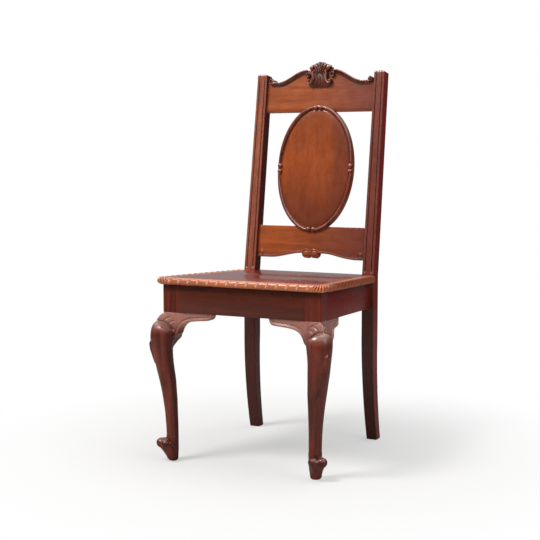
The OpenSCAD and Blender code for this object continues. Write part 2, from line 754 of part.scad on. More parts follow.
// Depth and size of the steps by which the carving rounds over, as shares
shell_round_shares = [[0, 1], [0.45, 1], [0.72, 0.95], [0.9, 0.84], [1, 0.66]];
crest_backing_share = 0.93;
module crest_outline() {
    polygon(concat(
        [[post_in_x, crest_low], [post_in_x, crest_edge(post_in_x)]],
        [for (i = [0:crest_steps]) let (x = mix(post_in_x, -post_in_x, i / crest_steps)) [x, crest_edge(x)]],
        [[-post_in_x, crest_low]]
    ));
    for (s = [-1, 1]) translate([s * crest_end_volute[0], crest_end_volute[1]])
        circle(r = volute_r * crest_backing_share, $fn = 40);
    polygon([for (p = shell_ring(crest_backing_share, 0)) [p[0], p[2]]]);
}
module back_tenons(z, h) {
    back_tenon(z, h);
    left() back_tenon(z, h);
}
module crest_rail() color(face_wood) placed() back_frame() difference() {
    union() {
        plate(back_set, back_t) crest_outline();
        back_tenons(crest_tenon_z, crest_tenon_h);
    }
    oval_rebate();
    panel_screw_holes();
}
// Crest moulding: a rounded lip along the edge that ends in two volutes
lip_steps = 36;
lip_from = crest_mid_volute[0] + volute_r / 2;
lip_to = crest_end_volute[0] - volute_r / 2;
module crest_moulding() placed() back_frame() {
    plate(back_set - lip_out, lip_out) polygon(concat(
        [for (i = [0:lip_steps]) let (x = mix(lip_from, lip_to, i / lip_steps)) [x, crest_edge(x)]],
        [for (i = [lip_steps:-1:0]) let (x = mix(lip_from, lip_to, i / lip_steps))
            [x, crest_edge(x) - lip_h]]
    ));
    for (c = [crest_mid_volute, crest_end_volute])
        plate(back_set - lip_out, lip_out) translate(c) circle(r = volute_r, $fn = 40);
}
module crest_moulding_right() color(face_wood) crest_moulding();
module crest_moulding_left() color(face_wood) left() crest_moulding();
module crest_shell() color(face_wood) placed() back_frame()
    loft([for (p = shell_round_shares) shell_ring(p[1], back_set - shell_out * p[0])]);

// Lower back rail with its scrolled lower edge
lower_low = lower_top - lower_end_h;
edge_in_share = 0.19;
edge_out_share = 0.81;
function lower_edge(x) =
    let (v = clamp((abs(x) / post_in_x - edge_in_share) / (edge_out_share - edge_in_share)))
    lower_low + lower_rise * (1 + cos(180 * v)) / 2;
mid_disc_shares = [0.96, 1.04];
end_disc_shares = [1.33, 1.5];
end_notch_share = 0.6;
mid_eye_share = 0.7;
mid_disc = [disc_r * mid_disc_shares[0], lower_low + disc_r * mid_disc_shares[1]];
end_disc = [post_in_x - end_disc_r * end_disc_shares[0], lower_low + end_disc_r * end_disc_shares[1]];
disc_proud = 2;
lower_steps = 48;
module lower_outline() {
    difference() {
        polygon(concat(
            [[post_in_x, lower_top]],
            [[-post_in_x, lower_top]],
            [for (i = [0:lower_steps]) let (x = mix(-post_in_x, post_in_x, i / lower_steps))
                [x, lower_edge(x)]]
        ));
        for (s = [-1, 1]) translate([s * post_in_x, lower_low])
            rotate(45) square(end_disc_r * end_notch_share, center = true);
    }
    for (s = [-1, 1]) translate([s * mid_disc[0], mid_disc[1]]) circle(r = disc_r, $fn = 40);
}
module lower_back_rail() color(face_wood) placed() back_frame() difference() {
    union() {
        plate(back_set, back_t) lower_outline();
        for (s = [-1, 1]) {
            plate(back_set - disc_proud, back_t) translate([s * mid_disc[0], mid_disc[1]])
                circle(r = disc_r * mid_eye_share, $fn = 40);
            plate(back_set - disc_proud, back_t) translate([s * end_disc[0], end_disc[1]])
                circle(r = end_disc_r, $fn = 40);
        }
        back_tenons(lower_tenon_z, lower_tenon_h);
    }
    oval_rebate();
    panel_screw_holes();
}

// Oval back panel, let into both rails and screwed on from behind
panel_screw_share = 0.16;
panel_screw_x = oval_a * panel_screw_share;
panel_screw_z = oval_b - oval_lap / 2;
module at_panel_screws() for (s = [-1, 1], v = [-1, 1])
    translate([s * panel_screw_x, back_set + back_t, oval_z + v * panel_screw_z]) rotate([90, 0, 0]) children();
module panel_screw_holes() at_panel_screws() screw_hole(panel_screw_l, over);
module oval_panel() color(face_wood) placed() back_frame() difference() {
    plate(panel_y, panel_t) oval(0);
    panel_screw_holes();
}
module oval_panel_screws() color(steel) placed() back_frame() at_panel_screws() screw(panel_screw_l);
// Scroll moulding: a quarter of the rim with a small volute at each end
rim_steps = 24;
function rim(a, inset) = [(oval_a - inset) * cos(a), oval_z + (oval_b - inset) * sin(a)];
eye_in = scroll_eye_r + scroll_gap / 2;
// The rim runs from the middle of the side volute to the middle of the top one
rim_start = asin(eye_in / oval_b);
rim_end = acos(eye_in / oval_a);
module oval_scroll() plate(panel_y - scroll_h, scroll_h) {
    polygon(concat(
        [for (i = [0:rim_steps]) rim(mix(rim_start, rim_end, i / rim_steps), 0)],
        [for (i = [rim_steps:-1:0]) rim(mix(rim_start, rim_end, i / rim_steps), scroll_w)]
    ));
    translate([oval_a - eye_in, oval_z + eye_in]) circle(r = scroll_eye_r, $fn = 40);
    translate([eye_in, oval_z + oval_b - eye_in]) circle(r = scroll_eye_r, $fn = 40);
}
module upside_down() translate([0, 0, 2 * oval_z]) mirror([0, 0, 1]) children();
module oval_scroll_top_right() color(face_wood) placed() back_frame() oval_scroll();
module oval_scroll_top_left() color(face_wood) placed() back_frame() left() oval_scroll();
module oval_scroll_bottom_right() color(face_wood) placed() back_frame() upside_down() oval_scroll();
module oval_scroll_bottom_left() color(face_wood) placed() back_frame() left() upside_down() oval_scroll();

front_leg_left();
front_leg_right();
knee_bracket_front_left();
knee_bracket_front_right();
knee_bracket_side_left();
knee_bracket_side_right();
rear_post_left();
rear_post_right();
front_rail();
side_rail_left();
side_rail_right();
back_rail();
corner_block_front_left();
corner_block_front_right();
corner_block_rear_left();
corner_block_rear_right();
corner_block_screws();
seat_screws();
seat_board_front();
seat_board_rear();
seat_moulding_front();
seat_moulding_left();
seat_moulding_right();
crest_rail();
crest_moulding_left();
crest_moulding_right();
crest_shell();
lower_back_rail();
oval_panel();
oval_scroll_top_left();
oval_scroll_top_right();
oval_scroll_bottom_left();
oval_scroll_bottom_right();
oval_panel_screws();
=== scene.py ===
# High-back side chair of polished red-brown wood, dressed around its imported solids.
# Shapes are written in millimetres in the chair's own frame: x to the right, y behind the
# face of the front rail, z up from the floor. The back has a frame of its own that leans
# with the posts: x across, depth behind the posts' front, up along the posts.
import math

import bmesh
import bpy
import numpy as np
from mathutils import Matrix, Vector

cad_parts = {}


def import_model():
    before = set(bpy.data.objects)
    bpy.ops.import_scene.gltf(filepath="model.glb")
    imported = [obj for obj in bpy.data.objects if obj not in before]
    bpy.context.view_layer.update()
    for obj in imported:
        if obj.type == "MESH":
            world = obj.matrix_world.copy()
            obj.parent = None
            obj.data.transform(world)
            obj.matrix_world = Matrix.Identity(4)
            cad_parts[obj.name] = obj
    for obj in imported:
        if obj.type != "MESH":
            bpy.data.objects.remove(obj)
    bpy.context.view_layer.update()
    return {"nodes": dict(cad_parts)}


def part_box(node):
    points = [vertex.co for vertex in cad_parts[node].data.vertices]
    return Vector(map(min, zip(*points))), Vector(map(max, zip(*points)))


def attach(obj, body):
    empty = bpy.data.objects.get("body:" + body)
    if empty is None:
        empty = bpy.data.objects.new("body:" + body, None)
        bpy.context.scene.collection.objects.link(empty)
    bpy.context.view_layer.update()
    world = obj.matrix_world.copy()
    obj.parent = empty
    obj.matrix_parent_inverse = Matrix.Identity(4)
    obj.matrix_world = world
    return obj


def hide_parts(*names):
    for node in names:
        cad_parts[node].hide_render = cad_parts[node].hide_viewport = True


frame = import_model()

MM = 0.001
BODY = "root"

# Seat frame
MID_Y = -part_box("front_rail")[0].y / MM
SEAT_H = 470
SEAT_D = 399
SEAT_DROP = 15
RAIL_H = 70
SEAT_T = 18
OVERHANG = 13
MOULDING_W = 24
CORNER_R = 16
FRONT_X = 216.5
REAR_X = 194.5
SIDE_SET = 8
REAR_H = SEAT_H - SEAT_DROP
RAIL_TOP = SEAT_H - SEAT_T
RAIL_LOW = RAIL_TOP - RAIL_H
SLOPE = SEAT_DROP / SEAT_D
TAPER = math.atan((FRONT_X - REAR_X + SIDE_SET) / SEAT_D)

# Front legs
BLOCK = 44
BLOCK_IN_X = FRONT_X - BLOCK
ANKLE_X = 190.5
ANKLE_Y = 18
KNEE_REACH = 36
KNEE_R = 28.5
KNEE_CROSS_R = 33
BRACKET_L = 95
BRACKET_H = 52
SIDE_BRACKET_H = 66
BRACKET_T = 22
BRACKET_SET = 2

# Back
RAKE = math.radians(8.3)
POST_W = 33.5
POST_TOP_W = 29
POST_D = 36
POST_L = 553
POST_IN_X = REAR_X - POST_W
FOOT_W = 30
FOOT_D = 27
FOOT_SWEEP = 36
REED_H = 3
BACK_SET = 11
BACK_T = 22
CREST_DROP = 105
CREST_END_H = 82
CREST_RISE = 33
CREST_WAVE_SHARES = (0.25, 0.795)
CREST_LOW = POST_L - CREST_DROP
CREST_END = CREST_LOW + CREST_END_H
LOWER_TOP = 128.5
LOWER_END_H = 88
LOWER_LOW = LOWER_TOP - LOWER_END_H
LOWER_RISE = 14.5
LOWER_WAVE_SHARES = (0.19, 0.81)
DISC_R = 12.5
END_DISC_R = 9
OVAL_LAP = 16
OVAL_A = 113
OVAL_B = (CREST_LOW - LOWER_TOP) / 2 + OVAL_LAP
OVAL_UP = (CREST_LOW + LOWER_TOP) / 2
PANEL_T = 13
PANEL_PROUD = 2.5
PANEL_SET = BACK_SET - PANEL_PROUD
SCROLL_W = 10
SCROLL_H = 5.5
EYE_R = 7.0
LIP_OUT = 9
VOLUTE_R = 9
SHELL_H = 71
SHELL_HALF_W = 33
SHELL_OUT = 15
SHELL_DROP_SHARE = 0.232
SHELL_LOW = CREST_END - SHELL_DROP_SHARE * SHELL_H


# Numbers and curves

def smooth(value, low, high):
    """0 below low, 1 above high, an S curve between."""
    v = np.clip((np.asarray(value, float) - low) / (high - low), 0, 1)
    return v * v * (3 - 2 * v)


def within(value, low, full, fade, high):
    """An S curve up from low to full and one down from fade to high."""
    return smooth(value, low, full) * (1 - smooth(value, fade, high))


def bell(value, width):
    return np.exp(-(np.asarray(value, float) / width) ** 2)


def soft_max(a, b, width):
    return (a + b + np.sqrt((a - b) ** 2 + width ** 2)) / 2


def soft_min(a, b, width):
    return -soft_max(-a, -b, width)


def spline(table, column, s):
    """Smooth value of one column of a table whose first column rises."""
    rows = np.array(table, float)
    x, y = rows[:, 0], rows[:, column]
    i = np.clip(np.searchsorted(x, s) - 1, 0, len(x) - 2)
    t = (s - x[i]) / (x[i + 1] - x[i])
    a, b, c, d = y[np.maximum(i - 1, 0)], y[i], y[i + 1], y[np.minimum(i + 2, len(x) - 1)]
    return b + 0.5 * t * (c - a + t * (2 * a - 5 * b + 4 * c - d + t * (3 * (b - c) + d - a)))


def side_x(y, inwards=0):
    """Outer face of a side rail, moved inwards square to it."""
    return FRONT_X - math.tan(TAPER) * np.asarray(y, float) - inwards / math.cos(TAPER)


def wave(x, inner, outer):
    """1 in the middle of the back, 0 towards the posts."""
    v = np.clip((np.abs(x) / POST_IN_X - inner) / (outer - inner), 0, 1)
    return (1 + np.cos(math.pi * v)) / 2


def crest_edge(x):
    return CREST_END + CREST_RISE * wave(x, *CREST_WAVE_SHARES)


def lower_edge(x):
    return LOWER_LOW + LOWER_RISE * wave(x, *LOWER_WAVE_SHARES)


def circle(centre, radius, sides):
    turn = np.arange(sides) / sides * 2 * math.pi
    return np.column_stack([centre[0] + radius * np.cos(turn), centre[1] + radius * np.sin(turn)])


def on_back(points):
    """From the back's own frame (x, depth, up) to the chair's frame."""
    p = np.asarray(points, float)
    y = SEAT_D + p[..., 1] * math.cos(RAKE) + p[..., 2] * math.sin(RAKE)
    z = REAR_H - p[..., 1] * math.sin(RAKE) + p[..., 2] * math.cos(RAKE)
    return np.stack([p[..., 0], y, z], axis=-1)


def face_ring(flat, depth):
    """Points (x, up) of the back at one depth, or each at its own, in the chair's frame."""
    return on_back(np.column_stack([flat[:, 0], np.broadcast_to(depth, len(flat)), flat[:, 1]]))


def raised(flat, z):
    """Points (x, y) at one height, or each at its own."""
    return np.column_stack([flat, np.broadcast_to(z, len(flat))])


# Meshes

WELD = 0.01
FLAT_TURN = math.radians(1)
EDGE_TURN = math.radians(28)


class Solid:
    """Closed shells gathered into one piece. Marks above 0 give the carving's cuts painted shade with some
    grime, and marks below 0 painted highlights.
    """

    def __init__(self):
        self.points = []
        self.faces = []
        self.hollow = []
        self.count = 0

    def add(self, points, faces, hollow=0.0):
        flat = np.asarray(points, float).reshape(-1, 3)
        self.faces += [tuple(i + self.count for i in f) for f in faces]
        self.points.append(flat)
        self.hollow.append(np.broadcast_to(np.ravel(hollow), len(flat)))
        self.count += len(flat)

    def loft(self, rings, hollow=0.0):
        """A closed body through rings of equal counts of points; hollow marks cut places, 0 to 1, that
        take painted shade, and places of painted highlight, below 0."""
        rings = np.asarray(rings, float)
        m, n = rings.shape[:2]
        faces = [tuple(range(n)), tuple(range((m - 1) * n, m * n))]
        for j in range(m - 1):
            for i in range(n):
                k = (i + 1) % n
                faces.append((j * n + i, j * n + k, (j + 1) * n + k, (j + 1) * n + i))
        self.add(rings, faces, hollow)

    def mirrored(self):
        twin = Solid()
        twin.add(np.concatenate(self.points) * (-1, 1, 1), self.faces, np.concatenate(self.hollow))
        return twin


def add_object(name, data):
    thing = bpy.data.objects.new(name, data)
    bpy.context.scene.collection.objects.link(thing)
    return thing


def clean_mesh(name, solid):
    """A mesh in world metres with its normals turned outwards."""
    world_points = (np.concatenate(solid.points) - (0, MID_Y, 0)) * MM
    mesh = bpy.data.meshes.new(name)
    mesh.from_pydata([tuple(p) for p in world_points], [], solid.faces)
    marks = mesh.attributes.new("hollow", "FLOAT", "POINT")
    marks.data.foreach_set("value", np.concatenate(solid.hollow).astype(np.float32))
    work = bmesh.new()
    work.from_mesh(mesh)
    bmesh.ops.remove_doubles(work, verts=work.verts, dist=WELD * MM)
    bmesh.ops.recalc_face_normals(work, faces=work.faces)
    work.to_mesh(mesh)
    work.free()
    return mesh


def shade(mesh, degrees):
    mesh.polygons.foreach_set("use_smooth", [True] * len(mesh.polygons))
    mesh.set_sharp_from_angle(angle=math.radians(degrees))


def dress(piece, material, nodes):
    piece.data.materials.clear()
    piece.data.materials.append(material)
    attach(piece, BODY)
    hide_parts(*nodes)


def fuse(piece, voxel, rounds):
    """Melts overlapping shells into one carved skin."""
    melt = piece.modifiers.new("melt", "REMESH")
    melt.mode = "VOXEL"
    melt.voxel_size = voxel * MM
    ease = piece.modifiers.new("ease", "SMOOTH")
    ease.factor = 0.5
    ease.iterations = rounds
    graph = bpy.context.evaluated_depsgraph_get()
    skin = bpy.data.meshes.new_from_object(piece.evaluated_get(graph))
    piece.modifiers.clear()
    piece.data = skin


def make(name, solid, slot, material, nodes, sharp=40, voxel=0, rounds=3):
    piece = add_object(name, clean_mesh(name, solid))
    if voxel:
        fuse(piece, voxel, rounds)
    shade(piece.data, sharp)
    dress(piece, material, nodes)


def make_pair(name, solid, slot, material, nodes, **more):
    """The right piece and its mirror image."""
    for side, body in (("right", solid), ("left", solid.mirrored())):
        twins = [n + "_" + side for n in nodes]
        make(name + "_" + side, body, slot, material, twins, **more)


def soften(node, material, width=0.7, sharp=30):
    """A plain piece again with its sharp edges eased, as sandpaper leaves them."""
    work = bmesh.new()
    work.from_mesh(frame["nodes"][node].data)
    bmesh.ops.remove_doubles(work, verts=work.verts, dist=WELD / 2 * MM)
    bmesh.ops.dissolve_limit(work, angle_limit=FLAT_TURN, verts=work.verts, edges=work.edges)
    edges = [e for e in work.edges if e.is_manifold and e.calc_face_angle() > EDGE_TURN]
    bmesh.ops.bevel(work, geom=edges, offset=width * MM, segments=2, profile=0.6,
                    affect="EDGES", clamp_overlap=True)
    bmesh.ops.triangulate(work, faces=[f for f in work.faces if len(f.verts) > 4])
    mesh = bpy.data.meshes.new("eased_" + node)
    work.to_mesh(mesh)
    work.free()
    shade(mesh, sharp)
    dress(add_object("eased_" + node, mesh), material, [node])


# Materials

class Nodes:
    """Short calls for building a node tree."""

    def __init__(self, tree):
        self.tree = tree

    def new(self, kind, **settings):
        node = self.tree.nodes.new("ShaderNode" + kind)
        for key, value in settings.items():
            setattr(node, key, value)
        return node

    def put(self, target, value):
        if isinstance(value, bpy.types.NodeSocket):
            self.tree.links.new(value, target)
        else:
            target.default_value = value

    def fill(self, node, values):
        """Sets or links a node's inputs by name."""
        for key, value in values.items():
            self.put(node.inputs[key], value)

    def line_up(self, node, *values):
        """Sets or links a node's inputs in their order, and gives its outputs."""
        for socket, value in zip(node.inputs, values):
            self.put(socket, value)
        return node.outputs

    def maths(self, operation, *values):
        return self.line_up(self.new("Math", operation=operation), *values)[0]

    def times(self, *values):
        product = values[0]
        for value in values[1:]:
            product = self.maths("MULTIPLY", product, value)
        return product

    def vector(self, operation, *values):
        return self.line_up(self.new("VectorMath", operation=operation), *values)

    def ramp(self, *values):
        """Value, low and high turned into 0 to 1, or into two more numbers, by an S curve."""
        return self.line_up(self.new("MapRange", interpolation_type="SMOOTHSTEP"), *values)[0]

    def blend(self, factor, a, b):
        """A mixture of two shaders."""
        return self.line_up(self.new("MixShader"), factor, a, b)[0]

    def mix(self, factor, a, b, blend_type="MIX"):
        node = self.new("Mix", data_type="RGBA", blend_type=blend_type)
        for place, value in ((0, factor), (6, a), (7, b)):
            self.put(node.inputs[place], value)
        return node.outputs[2]

    def noise(self, vector, scale, detail=3.0, rough=0.55, warp=0.0):
        node = self.new("TexNoise")
        self.fill(node, {"Vector": vector, "Scale": scale, "Detail": detail, "Roughness": rough,
                         "Distortion": warp})
        return node.outputs["Fac"]

    def split(self, vector):
        return self.line_up(self.new("SeparateXYZ"), vector)

    def grey(self, value):
        return self.line_up(self.new("CombineColor"), value, value, value)[0]

    def stretched(self, vector, scale, turn=(0, 0, 0)):
        node = self.new("Mapping")
        self.fill(node, {"Vector": vector, "Scale": scale, "Rotation": turn})
        return node.outputs[0]


def new_material(name):
    """A material, its node tree and its shader."""
    material = bpy.data.materials.new(name)
    material.use_nodes = True
    return material, Nodes(material.node_tree), material.node_tree.nodes["Principled BSDF"]


def srgb(r, g, b):
    """A colour as it looks on screen, 0 to 255, in the shader's own linear terms."""
    def one(v):
        v /= 255
        return v / 12.92 if v <= 0.04045 else ((v + 0.055) / 1.055) ** 2.4
    return (one(r), one(g), one(b), 1.0)


# Colours for faces turned to the side, here and below, are painted shade: darker, redder copies of the
# wood's colour.
RED_SHADED_SIDE = srgb(116, 22, 18)
BACK_LIGHT = srgb(190, 98, 46)
BACK_DARK = srgb(152, 74, 38)
# Painted shade: the back's colour towards the right of the chair.
BACK_RIGHT_SHADE = srgb(122, 62, 50)
PANEL_LIGHT = srgb(170, 80, 30)
PANEL_DARK = srgb(144, 66, 27)
PANEL_LINE = srgb(114, 54, 34)
POST_LIGHT = srgb(178, 100, 74)
POST_DARK = srgb(134, 74, 56)
CARVED_LIGHT = srgb(164, 88, 64)
CARVED_DARK = srgb(120, 58, 44)
# Painted shade for the carving's side faces.
CARVED_SHADED_SIDE = srgb(92, 30, 24)
RIM_LIGHT = srgb(158, 76, 52)
RIM_DARK = srgb(104, 40, 28)
FRAME_LIGHT = srgb(128, 50, 28)
FRAME_DARK = srgb(76, 26, 18)
# Painted shade for the side faces of the legs and brackets.
FRAME_SHADED_SIDE = srgb(92, 30, 22)
# Painted shade for faces turned inwards, towards the middle of the chair.
SHADED_INNER_SIDE = srgb(76, 18, 10)
BRACKET_LIGHT = srgb(140, 68, 48)
BRACKET_DARK = srgb(104, 46, 34)
# Painted sheen on the knees' carved band.
KNEE_SHEEN = srgb(184, 128, 114)
# Painted glint in the carving's cuts.
PAINTED_GLINT = srgb(240, 222, 218)
RAIL_LIGHT = srgb(104, 44, 27)
RAIL_DARK = srgb(68, 27, 19)
# Painted shade of the rear legs below the seat.
REAR_LEG_SHADE = srgb(78, 32, 22)
# The moulding's pale tones stand partly for a painted highlight on its upward-facing nose.
MOULDING_LIGHT = srgb(216, 126, 80)
MOULDING_DARK = srgb(172, 88, 54)
SEAT_LIGHT = srgb(120, 36, 28)
SEAT_DARK = srgb(80, 24, 22)
INNER_LIGHT = srgb(96, 58, 42)
INNER_DARK = srgb(64, 38, 30)
STEEL_DARK = srgb(120, 116, 108)
STEEL_LIGHT = srgb(182, 178, 168)

# How the grain is drawn out along each axis, and scale, detail, roughness and warp of its parts
ALONG = {"x": (0.06, 1, 1), "y": (1, 0.06, 1), "z": (1, 1, 0.06)}
BANDS = (55.0, 4.0, 0.6, 0.6)
FIBRES = (420.0, 4.0, 0.6)
PORES = (1300.0, 2.0, 0.5)
CLOUDS = (7.0, 2.0)
RUBBED = (38.0, 3.0)
BAND_HALF = 0.22
# Ranges in metres: the painted shade to the right, the painted shade of the rear legs below the seat,
# the painted sheen on the band of the knees and its end at the block, the painted shadow under the seat's
# edge
RIGHT_SHADE_RANGE = (-0.08, 0.17, 0.0, 0.9)
LOW_SHADE_RANGE = (0.44, 0.36)
SHEEN_RANGE = (0.325, 0.362)
SHEEN_END = (0.381, 0.3825)
UNDER_SEAT_SHADOW_RANGE = (0.422, 0.441, 1.0, 0.4)
# Ranges of turn for the painted shade of side and inward faces, of bend and of the carving's marks
SIDE_SHADE_TURN = (0.55, 0.97)
INWARD_SHADE_TURN = (-0.04, -0.12)
WORN_BEND = (0.515, 0.60, 0.0, 0.30)
GLINT_MARK_RANGE = (-1.0, -2.2, 0.0, 0.9)
HOLLOW_DARK = -0.65
FLAT_BEND = 0.497
COAT_ROUGHNESS = 0.14
SPECULAR = 0.35


def stained(n, place, grain, light, dark, side, look):
    """The wood's colour: bands of grain, painted shade to the right and below the seat, a figure, and
    painted shade on faces turned to the side.
    """
    where = n.split(place)
    half = BAND_HALF / look.get("contrast", 1.0)
    colour = n.mix(n.ramp(n.noise(grain, *BANDS), 0.5 - half, 0.5 + half), dark, light)
    # Painted shade: darker towards the right of the chair.
    if "fade" in look:
        colour = n.mix(n.ramp(where[0], *RIGHT_SHADE_RANGE), colour, look["fade"])
    # Painted shade: the rear legs darker below the seat.
    if "low" in look:
        colour = n.mix(n.ramp(where[2], *LOW_SHADE_RANGE), colour, look["low"])
    if "figure" in look:
        colour = look["figure"](n, place, where, colour)
    # Painted shade: faces turned to the side take a darker, redder copy of the colour, and inward ones a
    # darker one still.
    facing = n.split(n.new("NewGeometry").outputs["Normal"])[0]
    side_shade = n.ramp(n.maths("ABSOLUTE", facing), *SIDE_SHADE_TURN)
    inwards = n.ramp(n.times(facing, where[0]), *INWARD_SHADE_TURN)
    colour = n.mix(side_shade, colour, n.mix(inwards, side, SHADED_INNER_SIDE))
    if "over" in look:
        colour = look["over"](n, where, colour, side_shade)
    return colour


def shading(n, place, fibres, pores, bend, hollow, look):
    """Fibres, clouds and pores, painted shade with some grime in creases and carved marks, and a painted
    shadow under the seat's edge, as one strength.
    """
    # Creases and the carving's marks darken: painted shade with some grime.
    deep, grime_and_crease_shade = (0.40, 0.75) if "relief" in look else (0.44, 0.5)
    shades = [n.ramp(fibres, 0.3, 0.7, 0.86, 1.10), n.ramp(n.noise(place, *CLOUDS), 0.3, 0.7, 0.88, 1.08),
              n.maths("MULTIPLY_ADD", pores, -0.2, 1.0), n.ramp(bend, deep, FLAT_BEND, grime_and_crease_shade, 1.0),
              n.maths("MULTIPLY_ADD", hollow, HOLLOW_DARK, 1.0)]
    # Deep parts of fine carving darken: painted shade with some grime.
    if "relief" in look:
        cut, bright_depth = look["relief"]
        shades.append(n.ramp(depth_in(n, place), cut * MM, bright_depth * MM, 0.42, 1.0))
    # Painted shadow under the seat's edge.
    if "under" in look:
        where = n.split(place)
        shades.append(n.ramp(n.maths("MULTIPLY_ADD", where[1], SLOPE, where[2]), *UNDER_SEAT_SHADOW_RANGE))
    return n.times(*shades)


def wood(name, light, dark, side, axis, **look):
    """Stained and polished mahogany; axis is the way of the grain. A look may have a contrast of its
    bands, a fade colour of painted shade towards the right of the chair, a low colour of painted shade
    below the seat, a figure, the relief of fine carving on the back, as the depths between which it turns
    from dark hollows of painted shade with some grime to bright ridges, an over coat of colour, a painted
    shadow under the seat's edge, and a weight of polish. Where the marks of the carving fall below -1, a
    painted glint lights a cut."""
    material, n, shader = new_material(name)
    place = n.new("TexCoord").outputs["Object"]
    grain = n.stretched(place, ALONG[axis], (-RAKE if axis == "z" else 0, 0, 0))
    fibres = n.noise(grain, *FIBRES)
    pores = n.ramp(n.noise(grain, *PORES), 0.62, 0.74)
    bend = n.new("NewGeometry").outputs["Pointiness"]
    hollow = n.new("Attribute", attribute_name="hollow").outputs["Fac"]
    colour = stained(n, place, grain, light, dark, side, look)
    strength = shading(n, place, fibres, pores, bend, hollow, look)
    colour = n.mix(1.0, colour, n.grey(strength), "MULTIPLY")
    colour = n.mix(n.ramp(bend, *WORN_BEND), colour, light)
    # Painted glint where the carving's marks fall below -1.
    colour = n.mix(n.ramp(hollow, *GLINT_MARK_RANGE), colour, PAINTED_GLINT)
    bump = n.new("Bump")
    n.fill(bump, {"Strength": 0.18, "Distance": 0.25 * MM,
                  "Height": n.maths("MULTIPLY_ADD", pores, -0.6, fibres)})
    gloss, coat = ((0.16, 0.28), 0.9) if "relief" in look else ((0.24, 0.38), look.get("polish", 0.4))
    rough = n.ramp(n.noise(place, *RUBBED), 0.3, 0.7, *gloss)
    n.fill(shader, {"Base Color": colour, "Roughness": rough, "Normal": bump.outputs[0],
                    "Coat Weight": coat, "Coat Roughness": COAT_ROUGHNESS, "Specular IOR Level": SPECULAR})
    return material


def depth_in(n, place):
    """Depth behind the posts' front, in metres."""
    across = n.vector("DOT_PRODUCT", place, (0, math.cos(RAKE), -math.sin(RAKE)))["Value"]
    front = ((SEAT_D - MID_Y) * math.cos(RAKE) - REAR_H * math.sin(RAKE)) * MM
    return n.maths("SUBTRACT", across, front)


def knee_sheen_and_block_shade(n, where, colour, side_shade):
    """A painted sheen on the carved band between the knee's dome and the rail, and the rail's painted
    side shade on the sides of the block above it."""
    sheen = n.times(n.ramp(where[2], *SHEEN_RANGE), n.ramp(where[2], *SHEEN_END[::-1]), 0.8)
    block = n.times(n.ramp(where[2], *SHEEN_END), side_shade)
    return n.mix(block, n.mix(sheen, colour, KNEE_SHEEN), RED_SHADED_SIDE)


def arched_figure(n, place, where, colour):
    """Faint nested arches, as a board sawn near the heart shows, and a dull band along its right edge."""
    moved = n.vector("ADD", n.stretched(place, (2.2, 0.0, 0.75)), (0.02, 0.0, -0.44))["Vector"]
    ripple = n.new("TexWave", wave_type="RINGS", rings_direction="Y", wave_profile="SIN")
    n.fill(ripple, {"Vector": moved, "Scale": 7.0, "Distortion": 5.0, "Detail": 4.0, "Detail Scale": 2.0})
    arches = n.times(n.ramp(ripple.outputs["Fac"], 0.45, 0.95), n.ramp(where[1], 0.18, 0.14), 0.22)
    wander = n.maths("MULTIPLY_ADD", n.noise(place, 9.0, 2.0), 0.03, where[0])
    for amount in (arches, n.ramp(wander, 0.046, 0.082, 0.0, 0.6), n.ramp(where[2], 0.76, 0.60, 0.0, 0.75)):
        colour = n.mix(amount, colour, PANEL_LINE)
    return colour


def steel(name):
    material, n, shader = new_material(name)
    dull = n.noise(n.new("TexCoord").outputs["Object"], 900.0, 4.0)
    n.fill(shader, {"Base Color": n.mix(dull, STEEL_DARK, STEEL_LIGHT), "Metallic": 1.0,
                    "Roughness": n.ramp(dull, 0.3, 0.7, 0.3, 0.55)})
    return material


crest_wood = wood("crest_wood", BACK_LIGHT, BACK_DARK, RED_SHADED_SIDE, "x", fade=BACK_RIGHT_SHADE)
shell_wood = wood("shell_wood", CARVED_LIGHT, CARVED_DARK, CARVED_SHADED_SIDE, "z", relief=(4, -2.5))
carved_wood = wood("carved_wood", CARVED_LIGHT, CARVED_DARK, CARVED_SHADED_SIDE, "z", relief=(8, 1))
rim_wood = wood("rim_wood", RIM_LIGHT, RIM_DARK, RIM_DARK, "z", relief=(8.5, 3.5))
panel_wood = wood("panel_wood", PANEL_LIGHT, PANEL_DARK, PANEL_DARK, "z", figure=arched_figure)
post_wood = wood("post_wood", POST_LIGHT, POST_DARK, RED_SHADED_SIDE, "z", contrast=0.7, fade=BACK_RIGHT_SHADE,
                 low=REAR_LEG_SHADE)
# Legs and rails take a painted shadow under the seat's edge; legs and brackets a painted sheen on the knee
# band.
leg_wood = wood("leg_wood", FRAME_LIGHT, FRAME_DARK, FRAME_SHADED_SIDE, "z", over=knee_sheen_and_block_shade, under=True)
bracket_wood = wood("bracket_wood", BRACKET_LIGHT, BRACKET_DARK, FRAME_SHADED_SIDE, "z", over=knee_sheen_and_block_shade)
front_rail_wood = wood("front_rail_wood", RAIL_LIGHT, RAIL_DARK, RED_SHADED_SIDE, "x", under=True)
side_rail_wood = wood("side_rail_wood", RAIL_LIGHT, RAIL_DARK, RED_SHADED_SIDE, "y", under=True, polish=0.1)
front_moulding_wood = wood("front_moulding_wood", MOULDING_LIGHT, MOULDING_DARK, MOULDING_DARK, "x")
side_moulding_wood = wood("side_moulding_wood", MOULDING_LIGHT, MOULDING_DARK, MOULDING_DARK, "y",
                          polish=0.1)
board_wood = wood("board_wood", SEAT_LIGHT, SEAT_DARK, SEAT_DARK, "x", contrast=1.4)
inner_wood = wood("inner_wood", INNER_LIGHT, INNER_DARK, INNER_DARK, "x")
screw_metal = steel("screw_metal")


# Front legs

